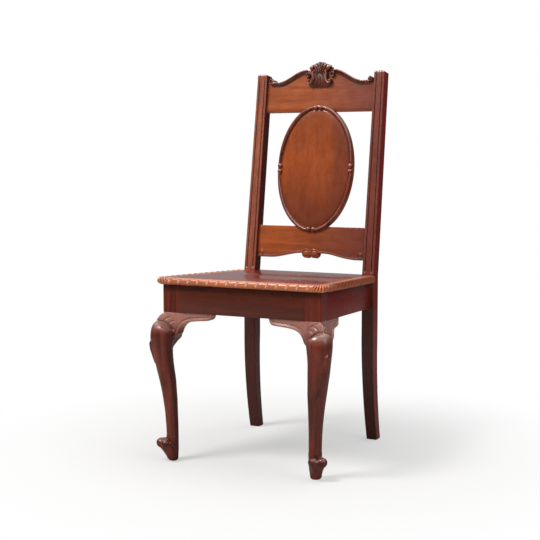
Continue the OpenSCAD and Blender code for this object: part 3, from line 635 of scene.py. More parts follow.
# Height (share of the rail's underside), swing (of KNEE_REACH), thickness (of KNEE_R),
# width (of KNEE_CROSS_R) and squareness of the section
LEG_SHARES = [
    [0.000, 0.24, 0.38, 0.34, 2.2], [0.016, 0.26, 0.45, 0.40, 2.2],
    [0.052, 0.28, 0.49, 0.43, 2.2], [0.110, 0.30, 0.51, 0.46, 2.3],
    [0.204, 0.31, 0.51, 0.47, 2.4], [0.272, 0.34, 0.53, 0.48, 2.4],
    [0.340, 0.38, 0.55, 0.51, 2.4], [0.408, 0.44, 0.60, 0.56, 2.4],
    [0.476, 0.52, 0.64, 0.62, 2.4], [0.545, 0.62, 0.70, 0.69, 2.4],
    [0.600, 0.73, 0.74, 0.73, 2.4], [0.668, 0.86, 0.78, 0.78, 2.4],
    [0.736, 0.96, 0.85, 0.82, 2.3], [0.783, 1.00, 0.92, 0.86, 2.3],
    [0.830, 1.00, 1.00, 0.92, 2.2], [0.861, 0.97, 1.02, 0.95, 2.2],
    [0.895, 0.90, 1.03, 0.97, 2.2], [0.920, 0.78, 1.02, 0.98, 2.2],
    [0.940, 0.66, 0.96, 0.94, 2.2], [1.000, 0.60, 0.80, 0.80, 2.2],
]
# Height, how far the corner stands out before the brackets' faces, and how round it is
SKIRT = np.array([
    [246, -8, 22], [270, -1.5, 20], [285, 4, 18], [300, 8.3, 16], [316, 11.6, 13], [330, 13, 10],
    [342, 12.5, 7], [352, 11.5, 4.5], [358, 10.5, 3.5], [366, 8.6, 3], [374, 5.8, 2.5], [379, 3.2, 2],
    [382, 1.2, 1.2], [386, 1, 1],
])
# Reach and power of the face's fall away from the knee, and an extra swelling behind it
FRONT_FADE = (78, 1.6, 0.5)
SIDE_FADE = (122, 0.9, 6.5)
# Distance from the block, height and widths of that swelling
SWELLING = (12, 22, 343, 24)
# Bead along a bracket's edge: height, half width, and the line beside it
BEAD_H, BEAD_HALF = 2.8, 3.4
QUIRK, QUIRK_AT, QUIRK_W = 1.5, 8.8, 1.7
BEAD_TIP = 14
BEAD_RISE = (276, 316)
EDGE_ROUND, EDGE_ROUND_W = 1.6, 0.9
SKIRT_X, SKIRT_Y = 197, 18
SKIRT_RISE = (300, 350)
HEEL_W = 32
HEEL_DROP = 60
HEEL_CUT = BLOCK - BRACKET_T - BRACKET_SET
# Lower edge of a bracket, from the leg to the tip, as shares of its length and drop
BRACKET_SHARES = [
    [0, 1], [0.035, 0.83], [0.08, 0.69], [0.14, 0.575], [0.22, 0.49], [0.32, 0.43], [0.45, 0.39],
    [0.60, 0.36], [0.74, 0.34], [0.874, 0.31], [0.93, 0.27], [0.965, 0.20], [0.985, 0.11], [1, 0]]
# The arched top of the knee's dome, its rounding and the line over it
DOME_W, DOME_TOP, DOME_FALL, DOME_BLEND = 27.5, 358.5, 0.0397, 3.0
DOME_ROUND, DOME_ROUND_W = 2.6, 4.0
LINE_CUT, LINE_AT, LINE_W = 1.5, 1.9, 1.3
# The lappet over the fluted band
LAPPET_TOP, LAPPET_DROP, LAPPET_W, LAPPET_CUT = 380.3, 20, 30, 1.5
# Spoon flutes: place across the knee and height of their middles
FLUTES = [(11.2, 365.5), (19.5, 357.0)]
FLUTE_SLOPE, FLUTE_SQUARE = 0.6, 0.86
FLUTE_CUT, FLUTE_W, FLUTE_L = 2.2, 2.0, 5.0
# Turn from the front, roll radius, distance from the ankle and height, all along the toe
TOE_ROLL = [
    [-56, 2.5, 11.0, 41], [-40, 6.0, 12.5, 43], [-15, 8.5, 18.5, 45.5], [12, 10.0, 27.0, 47],
    [36, 7.6, 27.0, 46], [58, 11.0, 28.7, 46.5], [88, 8.5, 22.0, 45], [112, 6.0, 14.0, 43],
    [128, 2.5, 11.0, 41],
]
TOE_NEAR, TOE_RUN = 11, 17.5
# Turn, distance from the ankle, radius and height of the two balls of the toe
TOE_BALLS = [(58, 28.7, 12.8, 46.5), (12.5, 26.4, 10.8, 48)]
BALL_REACH = 1.2
# Depth, turn and width of the cleft between them
CLEFT = (2.2, 36, 7)
# Rings cut at the toe's ends: their turns, arm, height, depth, radius and width
TOE_EYES = (-38, 110)
EYE_ARM, EYE_Z, EYE_CUT, EYE_RING, EYE_RING_W = 18, 44, 1.3, 4.4, 1.1
# Height and swelling below the roll of the toe
TOE_TAPER = [[0, -1.6], [3, 0.2], [10, 3.0], [20, 7.6], [30, 14.0], [38, 20.0], [60, 22.0]]
TOE_TOP = 66
SOLE_H, SOLE_SHARE = 3.0, 0.18
FOOT_LEAN, FOOT_LEAN_H = 2, 40
KNEE_LOW = 250
# Stretches of the leg's height and how many rings each has
LEG_RINGS = [(0, 6, 6), (6, TOE_TOP, 65), (TOE_TOP, KNEE_LOW, 49), (KNEE_LOW, 328, 59),
             (328, RAIL_LOW - 0.2, 109)]
LEG_SIDES = 200
WALL_POINTS = 90
WALL_PAST, WALL_AWAY = 4, 60
FAR = 500.0
LEAST = 4.0


def leg_swing(s):
    return KNEE_REACH * spline(LEG_SHARES, 1, s) / math.sqrt(2)


def leg_centre(z):
    """Centre that a ring of the leg is measured from; it moves into the block above the knee."""
    swing = leg_swing(min(z / RAIL_LOW, 1.0))
    into = float(smooth(z, *SKIRT_RISE))
    x, y = ANKLE_X + swing, ANKLE_Y - swing
    return x + (SKIRT_X - x) * into, y + (SKIRT_Y - y) * into


def shaft_radius(s, turn):
    """Distance to the rounded square section from its own centre, along a direction in plan."""
    r = KNEE_R * spline(LEG_SHARES, 2, s)
    cross = KNEE_CROSS_R * spline(LEG_SHARES, 3, s)
    square = spline(LEG_SHARES, 4, s)
    out = (np.cos(turn) - np.sin(turn)) / math.sqrt(2)
    across = (np.cos(turn) + np.sin(turn)) / math.sqrt(2) * r / cross
    u, v = np.abs(out + across) / math.sqrt(2), np.abs(out - across) / math.sqrt(2)
    return r / (u ** square + v ** square) ** (1 / square)


def shaft_line(z):
    s = min(z / RAIL_LOW, 1.0)
    turn = np.linspace(0, 2 * math.pi, 361)
    r = shaft_radius(s, turn)
    return np.column_stack([ANKLE_X + leg_swing(s) + r * np.cos(turn),
                            ANKLE_Y - leg_swing(s) + r * np.sin(turn)])


def polar(line, centre, turn):
    """Distance from a centre to a line of points in each direction; FAR where it doesn't reach."""
    away = np.asarray(line, float) - centre
    angle = np.unwrap(np.arctan2(away[:, 1], away[:, 0]))
    length = np.hypot(away[:, 0], away[:, 1])
    if angle[0] > angle[-1]:
        angle, length = angle[::-1], length[::-1]
    t = angle[0] + (turn - angle[0]) % (2 * math.pi)
    return np.where(t <= angle[-1] + 1e-6, np.interp(t, angle, length), FAR)


def bracket_line(height):
    """Lower edge from a bracket's tip to the leg and on down it: distance from the block, drop."""
    shares = np.array(BRACKET_SHARES)[::-1]
    v = np.linspace(1, 0, 14)[1:]
    far = np.concatenate([shares[:, 0] * BRACKET_L, -HEEL_W * (1 - v ** 2)])
    low = np.concatenate([-shares[:, 1] * height, -height - HEEL_DROP * (1 - v)])
    return np.column_stack([far, low])


FRONT_LINE = bracket_line(BRACKET_H)
SIDE_LINE = bracket_line(SIDE_BRACKET_H)


def edge_distance(far, drop, line):
    p = np.stack(np.broadcast_arrays(far, drop), axis=-1)[..., None, :]
    a, way = line[:-1], np.diff(line, axis=0)
    t = np.clip(((p - a) * way).sum(-1) / (way ** 2).sum(-1), 0, 1)
    return np.sqrt(((p - a - t[..., None] * way) ** 2).sum(-1).min(-1))


def stands_out(far, drop, line, fade):
    """How far the carved face stands before the bracket's flat one, at a distance from the block."""
    z = drop + RAIL_LOW
    reach, power, swelling = fade
    flare = np.clip(1 - (far + BLOCK) / reach, 0, None) ** power
    flare = np.where(far + BLOCK < 0, 1.0, flare)
    at, width, level, height = SWELLING
    face = np.interp(z, *SKIRT.T[:2]) * flare + swelling * bell(far - at, width) * bell(z - level, height)
    away = edge_distance(far, drop, line)
    bead = BEAD_H * np.sqrt(np.clip(1 - ((away - BEAD_HALF) / BEAD_HALF) ** 2, 0, 1))
    bead = bead - QUIRK * bell(away - QUIRK_AT, QUIRK_W)
    ends = smooth(far, BRACKET_L, BRACKET_L - BEAD_TIP) * smooth(z, *BEAD_RISE)
    return face + bead * ends - EDGE_ROUND * bell(away, EDGE_ROUND_W)


def heel_in(z, height):
    """How far the leg's flat inner face lies inside the block's, below a bracket's foot."""
    v = np.clip((z - (RAIL_LOW - height - HEEL_DROP)) / HEEL_DROP, 0, 1)
    return HEEL_W * (1 - v ** 2)


def skirt_radius(z, turn, centre):
    """The carved faces that run on from the brackets and meet at the corner, closed by the inner faces."""
    start = min(BLOCK_IN_X + heel_in(z, BRACKET_H), centre[0] - LEAST)
    end = max(BLOCK - heel_in(z, SIDE_BRACKET_H), centre[1] + LEAST)
    drop = z - RAIL_LOW
    x = np.append(np.linspace(start - WALL_PAST, FRONT_X, WALL_POINTS), FRONT_X + WALL_AWAY)
    front_y = BRACKET_SET - stands_out(BLOCK_IN_X - x, drop, FRONT_LINE, FRONT_FADE)
    front = np.column_stack([x, np.minimum(front_y, centre[1] - LEAST)])
    y = np.append(np.linspace(end + WALL_PAST, 0, WALL_POINTS), -WALL_AWAY)
    side_out = stands_out(y - BLOCK, drop + SLOPE * y, SIDE_LINE, SIDE_FADE)
    side = np.column_stack([np.maximum(side_x(y, BRACKET_SET) + side_out, centre[0] + LEAST), y])
    corner = float(np.interp(z, SKIRT[:, 0], SKIRT[:, 2]))
    r = soft_min(polar(front, centre, turn), polar(side, centre, turn), 0.83 * corner)
    cos, sin = np.cos(turn), np.sin(turn)
    planes = [(-cos, centre[0] - start), (sin, end - centre[1]),
              (sin - cos, BLOCK - HEEL_CUT - BLOCK_IN_X - (centre[1] - centre[0]))]
    for facing, distance in planes:
        wall = np.where(facing > 1e-3, distance / np.maximum(facing, 1e-3), FAR)
        r = soft_min(r, wall, 1.0)
    return r


def flute_cuts(z, across, past):
    """Depth of the spoon flutes, and dark marks of painted shade beside them."""
    flutes, marks = 0, 0
    for middle, level in FLUTES:
        beside = (across - middle - FLUTE_SLOPE * (z - level)) * FLUTE_SQUARE
        along = (z - level) / FLUTE_L
        flutes = flutes + FLUTE_CUT * bell(beside, FLUTE_W) * within(along, -1.15, 0.5, 0.8, 1.15)
        marks = marks + 0.7 * bell(beside + 1.8, 1.0) * bell(along, 0.9)
    below = smooth(past, 0.5, 2)
    return flutes * below, marks * below


def knee_radius(z, turn, centre):
    """The knee: an arched dome before a fluted band, with a lappet over it; with its marks of painted shade
    and a darker dome top.
    """
    shaft = polar(shaft_line(z), centre, turn)
    skirt = skirt_radius(z, turn, centre)
    x, y = centre[0] + skirt * np.cos(turn), centre[1] + skirt * np.sin(turn)
    across = np.abs((x - FRONT_X + BLOCK / 2) + (y - BLOCK / 2)) / math.sqrt(2)
    before = smooth((np.cos(turn) - np.sin(turn)) / math.sqrt(2), -0.1, 0.25)
    arch = DOME_TOP - DOME_FALL * across ** 2
    past = (z - arch) / np.sqrt(1 + (2 * DOME_FALL * across) ** 2)
    past = soft_max(past, across - DOME_W, DOME_BLEND)
    inside = np.maximum(1 - smooth(past, -1.0, 0.8), 1 - before)
    inside = np.maximum(inside, 1 - smooth(z, 280, 322))
    dome = soft_max(shaft, skirt, DOME_BLEND)
    dome = dome - DOME_ROUND * bell(past, DOME_ROUND_W) * before * smooth(z, 300, 335)
    line = LINE_CUT * bell(past - LINE_AT, LINE_W) * smooth(z, 285, 330)
    lappet = LAPPET_TOP - LAPPET_DROP * (across / LAPPET_W) ** 2
    band = (1 - smooth(z - lappet, -0.7, 0.5)) * (1 - smooth(across, 30, 36)) * smooth(past, 0, 2)
    flutes, marks = flute_cuts(z, across, past)
    # Marks: a painted shadow along the line over the dome, and the dome's top made darker.
    marks = marks + 0.9 * bell(past - LINE_AT, 1.5) * smooth(z, 300, 335)
    marks = marks + 0.45 * inside * smooth(z, 334, 350)
    cut = line + LAPPET_CUT * band + flutes
    return skirt + (dome - skirt) * inside - cut * before, marks * before


def toe_radius(z, turn, shaft):
    """The scroll toe: a roll with two balls that lies round the front of the ankle, over a taper."""
    azimuth = (np.degrees(turn) + 90 + 180) % 360 - 180
    inside = (azimuth > TOE_ROLL[0][0]) & (azimuth < TOE_ROLL[-1][0])
    az = np.clip(azimuth, TOE_ROLL[0][0], TOE_ROLL[-1][0])
    roll, reach, level = (spline(TOE_ROLL, k, az) for k in (1, 2, 3))
    tube = roll ** 2 - (z - level) ** 2
    front = np.where(tube > 0, reach + np.sqrt(np.maximum(tube, 0)), 0)
    strength = np.clip((reach - TOE_NEAR) / TOE_RUN, 0, 1)
    taper = shaft + strength * np.where(z < level, spline(TOE_TAPER, 1, np.minimum(z, 60.0)), 0)
    deep, turned, width = CLEFT
    taper -= deep * bell(az - turned, width) * smooth(z, 8, 38)
    r = np.where(inside, soft_max(shaft, np.maximum(taper, front), 1.5), shaft)
    for middle, far, size, high in TOE_BALLS:
        turned = np.radians(azimuth - middle)
        ball = size ** 2 - (z - high) ** 2 - (far * np.sin(turned)) ** 2
        hit = (ball > 0) & (np.abs(turned) < BALL_REACH)
        r = np.where(hit, soft_max(r, far * np.cos(turned) + np.sqrt(np.maximum(ball, 0)), 0.8), r)
    for eye in TOE_EYES:
        away = np.hypot(np.radians(azimuth - eye) * EYE_ARM, z - EYE_Z)
        r = r - EYE_CUT * bell(away - EYE_RING, EYE_RING_W)
    return r


def leg_rings():
    heights = [np.linspace(low, high, count, endpoint=False) for low, high, count in LEG_RINGS]
    turn = (np.arange(LEG_SIDES) + 0.5) / LEG_SIDES * 2 * math.pi
    rings, marks = [], []
    for z in np.concatenate(heights + [[RAIL_LOW - 0.2, RAIL_LOW + 1]]):
        centre = leg_centre(z)
        if z > KNEE_LOW:
            radius, mark = knee_radius(z, turn, centre)
        else:
            radius, mark = shaft_radius(z / RAIL_LOW, turn), np.zeros(LEG_SIDES)
        if z < TOE_TOP:
            radius = toe_radius(z, turn, radius)
            radius = radius * (1 - SOLE_SHARE * (1 - min(z / SOLE_H, 1)) ** 2)
        lean = FOOT_LEAN * float(1 - smooth(z, 0, FOOT_LEAN_H))
        rings.append(np.column_stack([centre[0] + lean + radius * np.cos(turn),
                                      centre[1] + lean + radius * np.sin(turn), np.full(LEG_SIDES, z)]))
        marks.append(mark)
    return rings, marks


def prism(solid, plan, low, high, ease=1.0):
    """A block over a plan outline, with its upright and level edges eased."""
    plan = np.asarray(plan, float)
    corners = []
    flat = ease * 2.2
    for i, p in enumerate(plan):
        before, after = plan[i - 1] - p, plan[(i + 1) % len(plan)] - p
        before, after = before / np.linalg.norm(before), after / np.linalg.norm(after)
        corners += [p + before * flat, p + before * ease, p + (before + after) * ease * 0.29]
        corners += [p + after * ease, p + after * flat]
    outline = np.array(corners)
    middle = outline.mean(0)
    inner = middle + (outline - middle) * (1 - ease / np.linalg.norm(outline - middle, axis=1))[:, None]
    top = high - SLOPE * outline[:, 1]
    solid.loft([raised(inner, low), raised(outline, low + ease), raised(outline, low + flat),
                raised(outline, top - flat), raised(outline, top - ease),
                raised(inner, high - SLOPE * inner[:, 1])])


def front_legs():
    leg = Solid()
    leg.loft(*leg_rings())
    plan = [[BLOCK_IN_X, 0], [FRONT_X, 0], [float(side_x(BLOCK)), BLOCK], [BLOCK_IN_X, BLOCK]]
    prism(leg, plan, RAIL_LOW, RAIL_TOP)
    make_pair("carved_leg", leg, "frame_wood", leg_wood, ["front_leg"], sharp=48)


# Knee brackets

BRACKET_STEPS = 96
BRACKET_ACROSS = 40
BRACKET_CROWD = 1.4
BRACKET_INTO = 0.6
BRACKET_TIP = 0.4


def front_place(far, inwards, drop):
    return BLOCK_IN_X - far, inwards, RAIL_LOW + drop


def side_place(far, inwards, drop):
    y = BLOCK + far
    return float(side_x(y, inwards)), y, RAIL_LOW + drop - SLOPE * y


def bracket_rings(place, line, fade):
    """Columns of the bracket from its tip to the leg; place turns (far, inwards, drop) into a point."""
    edge = line[line[:, 0] >= 0]
    length = np.concatenate([[0], np.cumsum(np.hypot(*np.diff(edge, axis=0).T))])
    even = np.linspace(0, length[-1], BRACKET_STEPS)
    table = np.column_stack([length, edge])
    share = np.linspace(0, 1, BRACKET_ACROSS) ** BRACKET_CROWD
    back = BRACKET_SET + BRACKET_T
    rings = []
    for far, low in [(spline(table, 1, s), spline(table, 2, s)) for s in even] + [(-1.0, edge[-1][1])]:
        far, low = float(far), min(float(low), -BRACKET_TIP)
        drop = low + (BRACKET_INTO - low) * share
        face = BRACKET_SET - stands_out(np.full_like(drop, far), drop, line, fade)
        carved = [place(far, b, c) for b, c in zip(face, drop)]
        rings.append(carved + [place(far, back, c) for c in drop[::-1]])
    return rings


def knee_brackets():
    for name, place, line, fade in (("front", front_place, FRONT_LINE, FRONT_FADE),
                                    ("side", side_place, SIDE_LINE, SIDE_FADE)):
        bracket = Solid()
        bracket.loft(bracket_rings(place, line, fade))
        make_pair("shaped_bracket_" + name, bracket, "frame_wood", bracket_wood, ["knee_bracket_" + name],
                  sharp=50)


# Back posts

POST_SIDE_POINTS = 12
POST_FRONT_POINTS = 49
POST_ROUND = 1.8
# Places of the two grooves between the reeds and their width, as shares of the post's width
GROOVE_SHARES = (0.23, 0.77)
GROOVE_W_SHARE = 0.035
CROWN = 0.9
REED_CUT = 0.8
SWEEP_SHARE = 0.6
FOOT_EASE = 1.6
TOP_EASE, TOP_EASE_SHARE = 2.4, 1.2


def post_section(x_in, x_out, depth, reeds):
    """Section of a post in x and depth: rounded corners, and a front carved with reeds."""
    r = POST_ROUND
    x = np.linspace(x_in + r, x_out - r, POST_FRONT_POINTS)
    place = (x - x_in) / (x_out - x_in)
    groove = sum(bell(place - at, GROOVE_W_SHARE) for at in GROOVE_SHARES)
    crown = CROWN * (1 - np.clip((place - 0.5) / 0.25, -1, 1) ** 2) * (np.abs(place - 0.5) < 0.25)
    ring = list(zip(x, reeds * (REED_H * groove + CROWN - crown)))
    bend = np.linspace(0, math.pi / 2, 5)[1:-1]
    out, up = r * np.sin(bend), r * np.cos(bend)
    ring += zip(x_out - r + out, r - up + reeds * CROWN * np.cos(bend))
    ring += [(x_out, d) for d in np.linspace(r, depth - r, POST_SIDE_POINTS)]
    ring += zip(x_out - r + up, depth - r + out)
    ring += [(a, depth) for a in np.linspace(x_out - r, x_in + r, POST_SIDE_POINTS)]
    ring += zip(x_in + r - out, depth - r + up)
    ring += [(x_in, d) for d in np.linspace(depth - r, r, POST_SIDE_POINTS)]
    ring += zip(x_in + r - up, r - out + reeds * CROWN * np.sin(bend))
    return np.array(ring)


def shrunk(ring, by):
    middle = ring.mean(0)
    away = ring - middle
    return middle + away * (1 - by / np.abs(away).max(0))


def rear_leg_rings():
    """The swept leg below the seat."""
    sweep_z = REAR_H * SWEEP_SHARE
    levels = [[0, 0.8, 2], np.linspace(5, sweep_z, 26), np.linspace(sweep_z + 12, REAR_H - 12, 10)]
    rings = []
    for z in np.concatenate(levels):
        v = max(0.0, 1 - z / sweep_z)
        x_in = POST_IN_X + (REAR_X - FOOT_W - POST_IN_X) * v
        ring = post_section(x_in, REAR_X, POST_D + (FOOT_D - POST_D) * v, 0.0)
        ring = shrunk(ring, max(0.0, FOOT_EASE - z))
        rings.append(raised(ring + (0, SEAT_D + FOOT_SWEEP * v * v), z))
    return rings


def upright_rings():
    """The leaning, reeded post above the seat."""
    ends = [POST_L - 2, POST_L - 0.8, POST_L]
    rings = []
    for up in np.concatenate([np.linspace(4, 16, 13), np.linspace(24, POST_L - 6, 40), ends]):
        x_out = POST_IN_X + POST_W + (POST_TOP_W - POST_W) * up / POST_L
        reeds = REED_CUT * float(within(up, 5, 11, POST_L - 9, POST_L - 5))
        ring = post_section(POST_IN_X, x_out, POST_D, reeds)
        ring = shrunk(ring, max(0.0, TOP_EASE - (POST_L - up) * TOP_EASE_SHARE))
        rings.append(on_back(raised(ring, up)))
    return rings


def rear_posts():
    post = Solid()
    post.loft(rear_leg_rings() + upright_rings())
    make_pair("reeded_post", post, "frame_wood", post_wood, ["rear_post"], sharp=42)


# Seat moulding

NOSE_R = SEAT_T / 2
TICK_PITCH = 27
LEAF_HALF = 26
NOSE_POINTS = 30
FRONT_POINTS, CORNER_POINTS, SIDE_POINTS = 420, 60, 640


def commas(s, angle):
    """Slanted comma cuts along the front, with painted glints and dark lines of painted shade."""
    lean = 2.8 * np.sin(np.clip(angle, -1.2, 1.4)) - 1.0
    phase = (s - lean + TICK_PITCH / 2) % TICK_PITCH - TICK_PITCH / 2
    window = within(angle, -0.5, -0.2, 0.55, 0.95)
    height = 2.0 * bell(phase + 2.3, 1.8) * bell(angle - 0.1, 0.5)
    height = height - 2.2 * bell(phase - 0.3, 1.2) * window
    # A painted glint at the lower left of each comma, and a painted dark line beside it.
    slant = phase + 1.2 - 2.2 * np.sin(angle)
    glint = bell(slant, 1.9) * bell(angle + 0.08, 0.3) + 0.8 * bell(slant, 1.1) * bell(angle - 0.4, 0.3)
    return height, bell(slant - 2.5, 0.9) * smooth(angle, -0.2, 0.4) * window - 3.2 * glint


def rope(s, angle):
    """Slanted lobes along the side."""
    turn = (s - 13.0 * np.sin(angle)) / TICK_PITCH
    cut = (turn + 0.5) % 1 - 0.5
    height = 1.8 * np.abs(np.sin(math.pi * turn)) ** 0.8 - 3.4 * bell(cut, 0.15)
    height = height * within(angle, -0.9, -0.3, 1.35, 1.54)
    # Marks: painted shade with some grime in the gaps between the lobes.
    return height, bell(cut, 0.17) * within(angle, -1.0, -0.4, 1.2, 1.5)


def leaf(corner, angle):
    """Fluted leaf that wraps the corner."""
    fan = np.abs(np.sin((corner - 4) * (0.42 + 0.10 * angle)))
    height = (3.2 * fan ** 0.8 - 2.0) * within(angle, -0.7, -0.2, 1.3, 1.52)
    height = height + 2.2 * bell(corner, 11) * np.cos(angle) ** 2
    # Marks: painted shade in the flutes and a slight painted highlight on their ridges.
    return height, ((1 - fan) ** 2 - 0.5 * fan ** 3) * within(angle, -0.7, -0.2, 1.2, 1.5)


def nose_carving(s, angle, corner):
    """Height and marks of the carving on the bull nose; corner is the way past the mitre."""
    along = rope(s, angle) if corner > 0 else commas(s, angle)
    share = smooth(LEAF_HALF - abs(corner), 0, 4)
    height, mark = ((a * (1 - share) + b * share) for a, b in zip(along, leaf(corner, angle)))
    # The nose's underside is darkened as painted shade.
    return height, mark + 0.5 * (1 - smooth(angle, -1.3, -0.4))


def nose_rings(inner, outer, s, corner):
    """Sections between points of the inner edge and points of the outer edge, and their marks."""
    rings, marks = [], []
    angle = np.linspace(-math.pi / 2, math.pi / 2, NOSE_POINTS)
    for a, b, run, past in zip(inner, outer, s, corner):
        a, b = np.asarray(a, float), np.asarray(b, float)
        length = np.linalg.norm(b - a)
        height, mark = nose_carving(run, angle, past)
        r = NOSE_R + height
        out = np.concatenate([[0], length - NOSE_R + r * np.cos(angle), [0]])
        up = np.concatenate([[RAIL_TOP], RAIL_TOP + NOSE_R + r * np.sin(angle), [SEAT_H - 0.3]])
        up = np.clip(up, RAIL_TOP + 0.05, SEAT_H + 0.8)
        flat = a + (b - a) / length * out[:, None]
        rings.append(raised(flat, up - SLOPE * flat[:, 1]))
        marks.append(np.concatenate([[0], mark, [0]]))
    return rings, marks


def moulding_path():
    """Right half of the edge from the middle of the front to the post. Along the side the inner
    points stay near the front corner until the last few steps, so the sections there slant far
    back and the nose stands out little square to the side."""
    inset = MOULDING_W - OVERHANG
    set_in = CORNER_R - OVERHANG
    inner_corner = (float(side_x(inset, inset)), inset)
    straight = float(side_x(set_in, set_in))
    inner, outer, run = [], [], []
    for x in np.linspace(0, straight, FRONT_POINTS)[:-1]:
        inner.append((inner_corner[0] * x / straight, inset))
        outer.append((x, -OVERHANG))
        run.append(x)
    for a in np.linspace(-math.pi / 2, TAPER, CORNER_POINTS):
        inner.append(inner_corner)
        outer.append((straight + CORNER_R * math.cos(a), set_in + CORNER_R * math.sin(a)))
        run.append(straight + (a + math.pi / 2) * CORNER_R)
    start, before = run[-1], outer[-1][1]
    for y in np.linspace(before, SEAT_D, SIDE_POINTS)[1:]:
        inner_y = inset + (SEAT_D - inset) * (y - before) / (SEAT_D - before)
        inner.append((float(side_x(inner_y, inset)), inner_y))
        outer.append((float(side_x(y, -OVERHANG)), y))
        run.append(start + (y - set_in) / math.cos(TAPER))
        before = y
    return inner, outer, np.array(run), straight


def seat_mouldings():
    inner, outer, run, straight = moulding_path()
    mitre = straight + (math.pi / 4) * CORNER_R
    cut = int(np.searchsorted(run, mitre))
    right, right_marks = nose_rings(inner, outer, run, run - mitre)
    mirror = [(-x, y) for x, y in inner], [(-x, y) for x, y in outer]
    left, left_marks = nose_rings(*mirror, -run, run - mitre)
    front = Solid()
    front.loft(left[cut:0:-1] + right[:cut + 1], left_marks[cut:0:-1] + right_marks[:cut + 1])
    make("carved_moulding_front", front, "moulding_wood", front_moulding_wood, ["seat_moulding_front"],
         sharp=55)
    for side, rings, marks in (("right", right, right_marks), ("left", left, left_marks)):
        edge = Solid()
        edge.loft(rings[cut:], marks[cut:])
        make("carved_moulding_" + side, edge, "moulding_wood", side_moulding_wood,
             ["seat_moulding_" + side], sharp=55)


# Carved work on the back

BURY = 1.5
DOME_SIDES = 40
DOME_RINGS = 9
RIBBON_POINTS = 13


def face_ribbon(solid, path, half, high, base, bury=BURY):
    """A rounded moulding that follows a path over a face of the back; half and high may vary along it."""
    path = np.asarray(path, float)
    way = np.gradient(path, axis=0)
    way /= np.maximum(np.linalg.norm(way, axis=1), 1e-9)[:, None]
    across = np.column_stack([-way[:, 1], way[:, 0]])
    bend = np.linspace(0, math.pi, RIBBON_POINTS)
    rings = []
    half, high = (np.broadcast_to(v, len(path)) for v in (half, high))
    for p, n, w, h in zip(path, across, half, high):
        flat = p + n * (w * np.cos(bend))[:, None]
        depth = np.concatenate([base - h * np.sin(bend), [base + bury] * 2])
        rings.append(face_ring(np.concatenate([flat, flat[[-1, 0]]]), depth))
    solid.loft(rings)


def face_dome(solid, centre, radius, high, base, plump=1.0):
    """A button on a face of the back."""
    rings = [face_ring(circle(centre, radius, DOME_SIDES), base + BURY)]
    for a in np.linspace(0, math.pi / 2 * 0.97, DOME_RINGS):
        rings.append(face_ring(circle(centre, radius * math.cos(a) ** plump, DOME_SIDES),
                               base - high * math.sin(a)))
    solid.loft(rings)


def spiral(centre, outer, inner, start, turns, steps=46):
    """Points from the outside of a volute to its eye; turns is negative for a clockwise one."""
    t = np.linspace(0, 1, steps)
    angle = math.radians(start) + turns * 2 * math.pi * t
    r = outer + (inner - outer) * t ** 0.85
    return np.column_stack([centre[0] + r * np.cos(angle), centre[1] + r * np.sin(angle)])


def ends_taper(count, share=0.08, least=0.35):
    """Widths that narrow at both ends of a ribbon, as shares."""
    t = np.linspace(0, 1, count)
    edge = np.clip(np.minimum(t, 1 - t) / share, 0, 1)
    return least + (1 - least) * np.sqrt(1 - (1 - edge) ** 2)


def volute(solid, centre, radius, high, base, start, turns):
    """A round boss with a raised spiral that winds in to its eye."""
    face_dome(solid, centre, radius * 0.92, high * 0.45, base, plump=0.6)
    path = spiral(centre, radius * 0.78, radius * 0.50, start, turns)
    shrink = np.linspace(1, 0.7, len(path))
    face_ribbon(solid, path, radius * 0.22 * shrink, high * (1.02 - 0.2 * (1 - shrink)), base)
    face_dome(solid, centre, radius * 0.40, high * 1.05, base)


# Inset from the rim and depth behind the panel's face, over its front and then its back
PANEL_FRONT = [(105, 0), (70, 0), (30, 0), (15.5, 0), (13.2, 0.4), (11.8, 1.3), (10.8, 1.1), (10, 0),
               (1.6, 0), (0.35, 0.7), (0, 2.0)]
PANEL_BACK = [(0, PANEL_T - 1.2), (1.2, PANEL_T), (60, PANEL_T), (105, PANEL_T)]
PANEL_SIDES = 144


def oval_point(degrees, inset):
    a = np.radians(degrees)
    return np.column_stack([(OVAL_A - inset) * np.cos(a), OVAL_UP + (OVAL_B - inset) * np.sin(a)])


def oval_scroll(flip_x, flip_up):
    """A quarter of the oval's rim: a rounded moulding with a round eye at each end."""
    solid = Solid()
    centre = np.array([0, OVAL_UP])
    flip = np.array([flip_x, flip_up])
    rim = oval_point(np.linspace(5, 85, 80), SCROLL_W / 2)
    t = np.linspace(0, 1, len(rim))
    half = SCROLL_W / 2 * (0.62 + 0.38 * np.clip(np.minimum(t, 1 - t) / 0.22, 0, 1))
    face_ribbon(solid, centre + (rim - centre) * flip, half, SCROLL_H * 1.1, PANEL_SET, bury=2.5)
    gap = EYE_R + 0.5
    for eye in ((OVAL_A - gap, gap), (gap, OVAL_B - gap)):
        face_dome(solid, centre + eye * flip, EYE_R, SCROLL_H * 1.6, PANEL_SET)
    return solid


def oval():
    panel = Solid()
    turn = np.arange(PANEL_SIDES) * 360 / PANEL_SIDES
    panel.loft([face_ring(oval_point(turn, inset), PANEL_SET + depth)
                for inset, depth in PANEL_FRONT + PANEL_BACK])
    make("figured_panel", panel, "back_wood", panel_wood, ["oval_panel"], sharp=35)
    for up, flip_up in (("top", 1), ("bottom", -1)):
        for side, flip_x in (("right", 1), ("left", -1)):
            name = up + "_" + side
            make("rim_scroll_" + name, oval_scroll(flip_x, flip_up), "back_wood", rim_wood,
                 ["oval_scroll_" + name], sharp=60, voxel=0.7, rounds=3)


RAIL_X = np.linspace(-POST_IN_X, POST_IN_X, 240)
RAIL_EASE = 1.0
GROOVE_UP = 5.0
# Heights round the groove's middle and its depths
GROOVE = [(-1.2, 0), (-0.5, 0.55), (0, 0.8), (0.5, 0.55), (1.2, 0)]


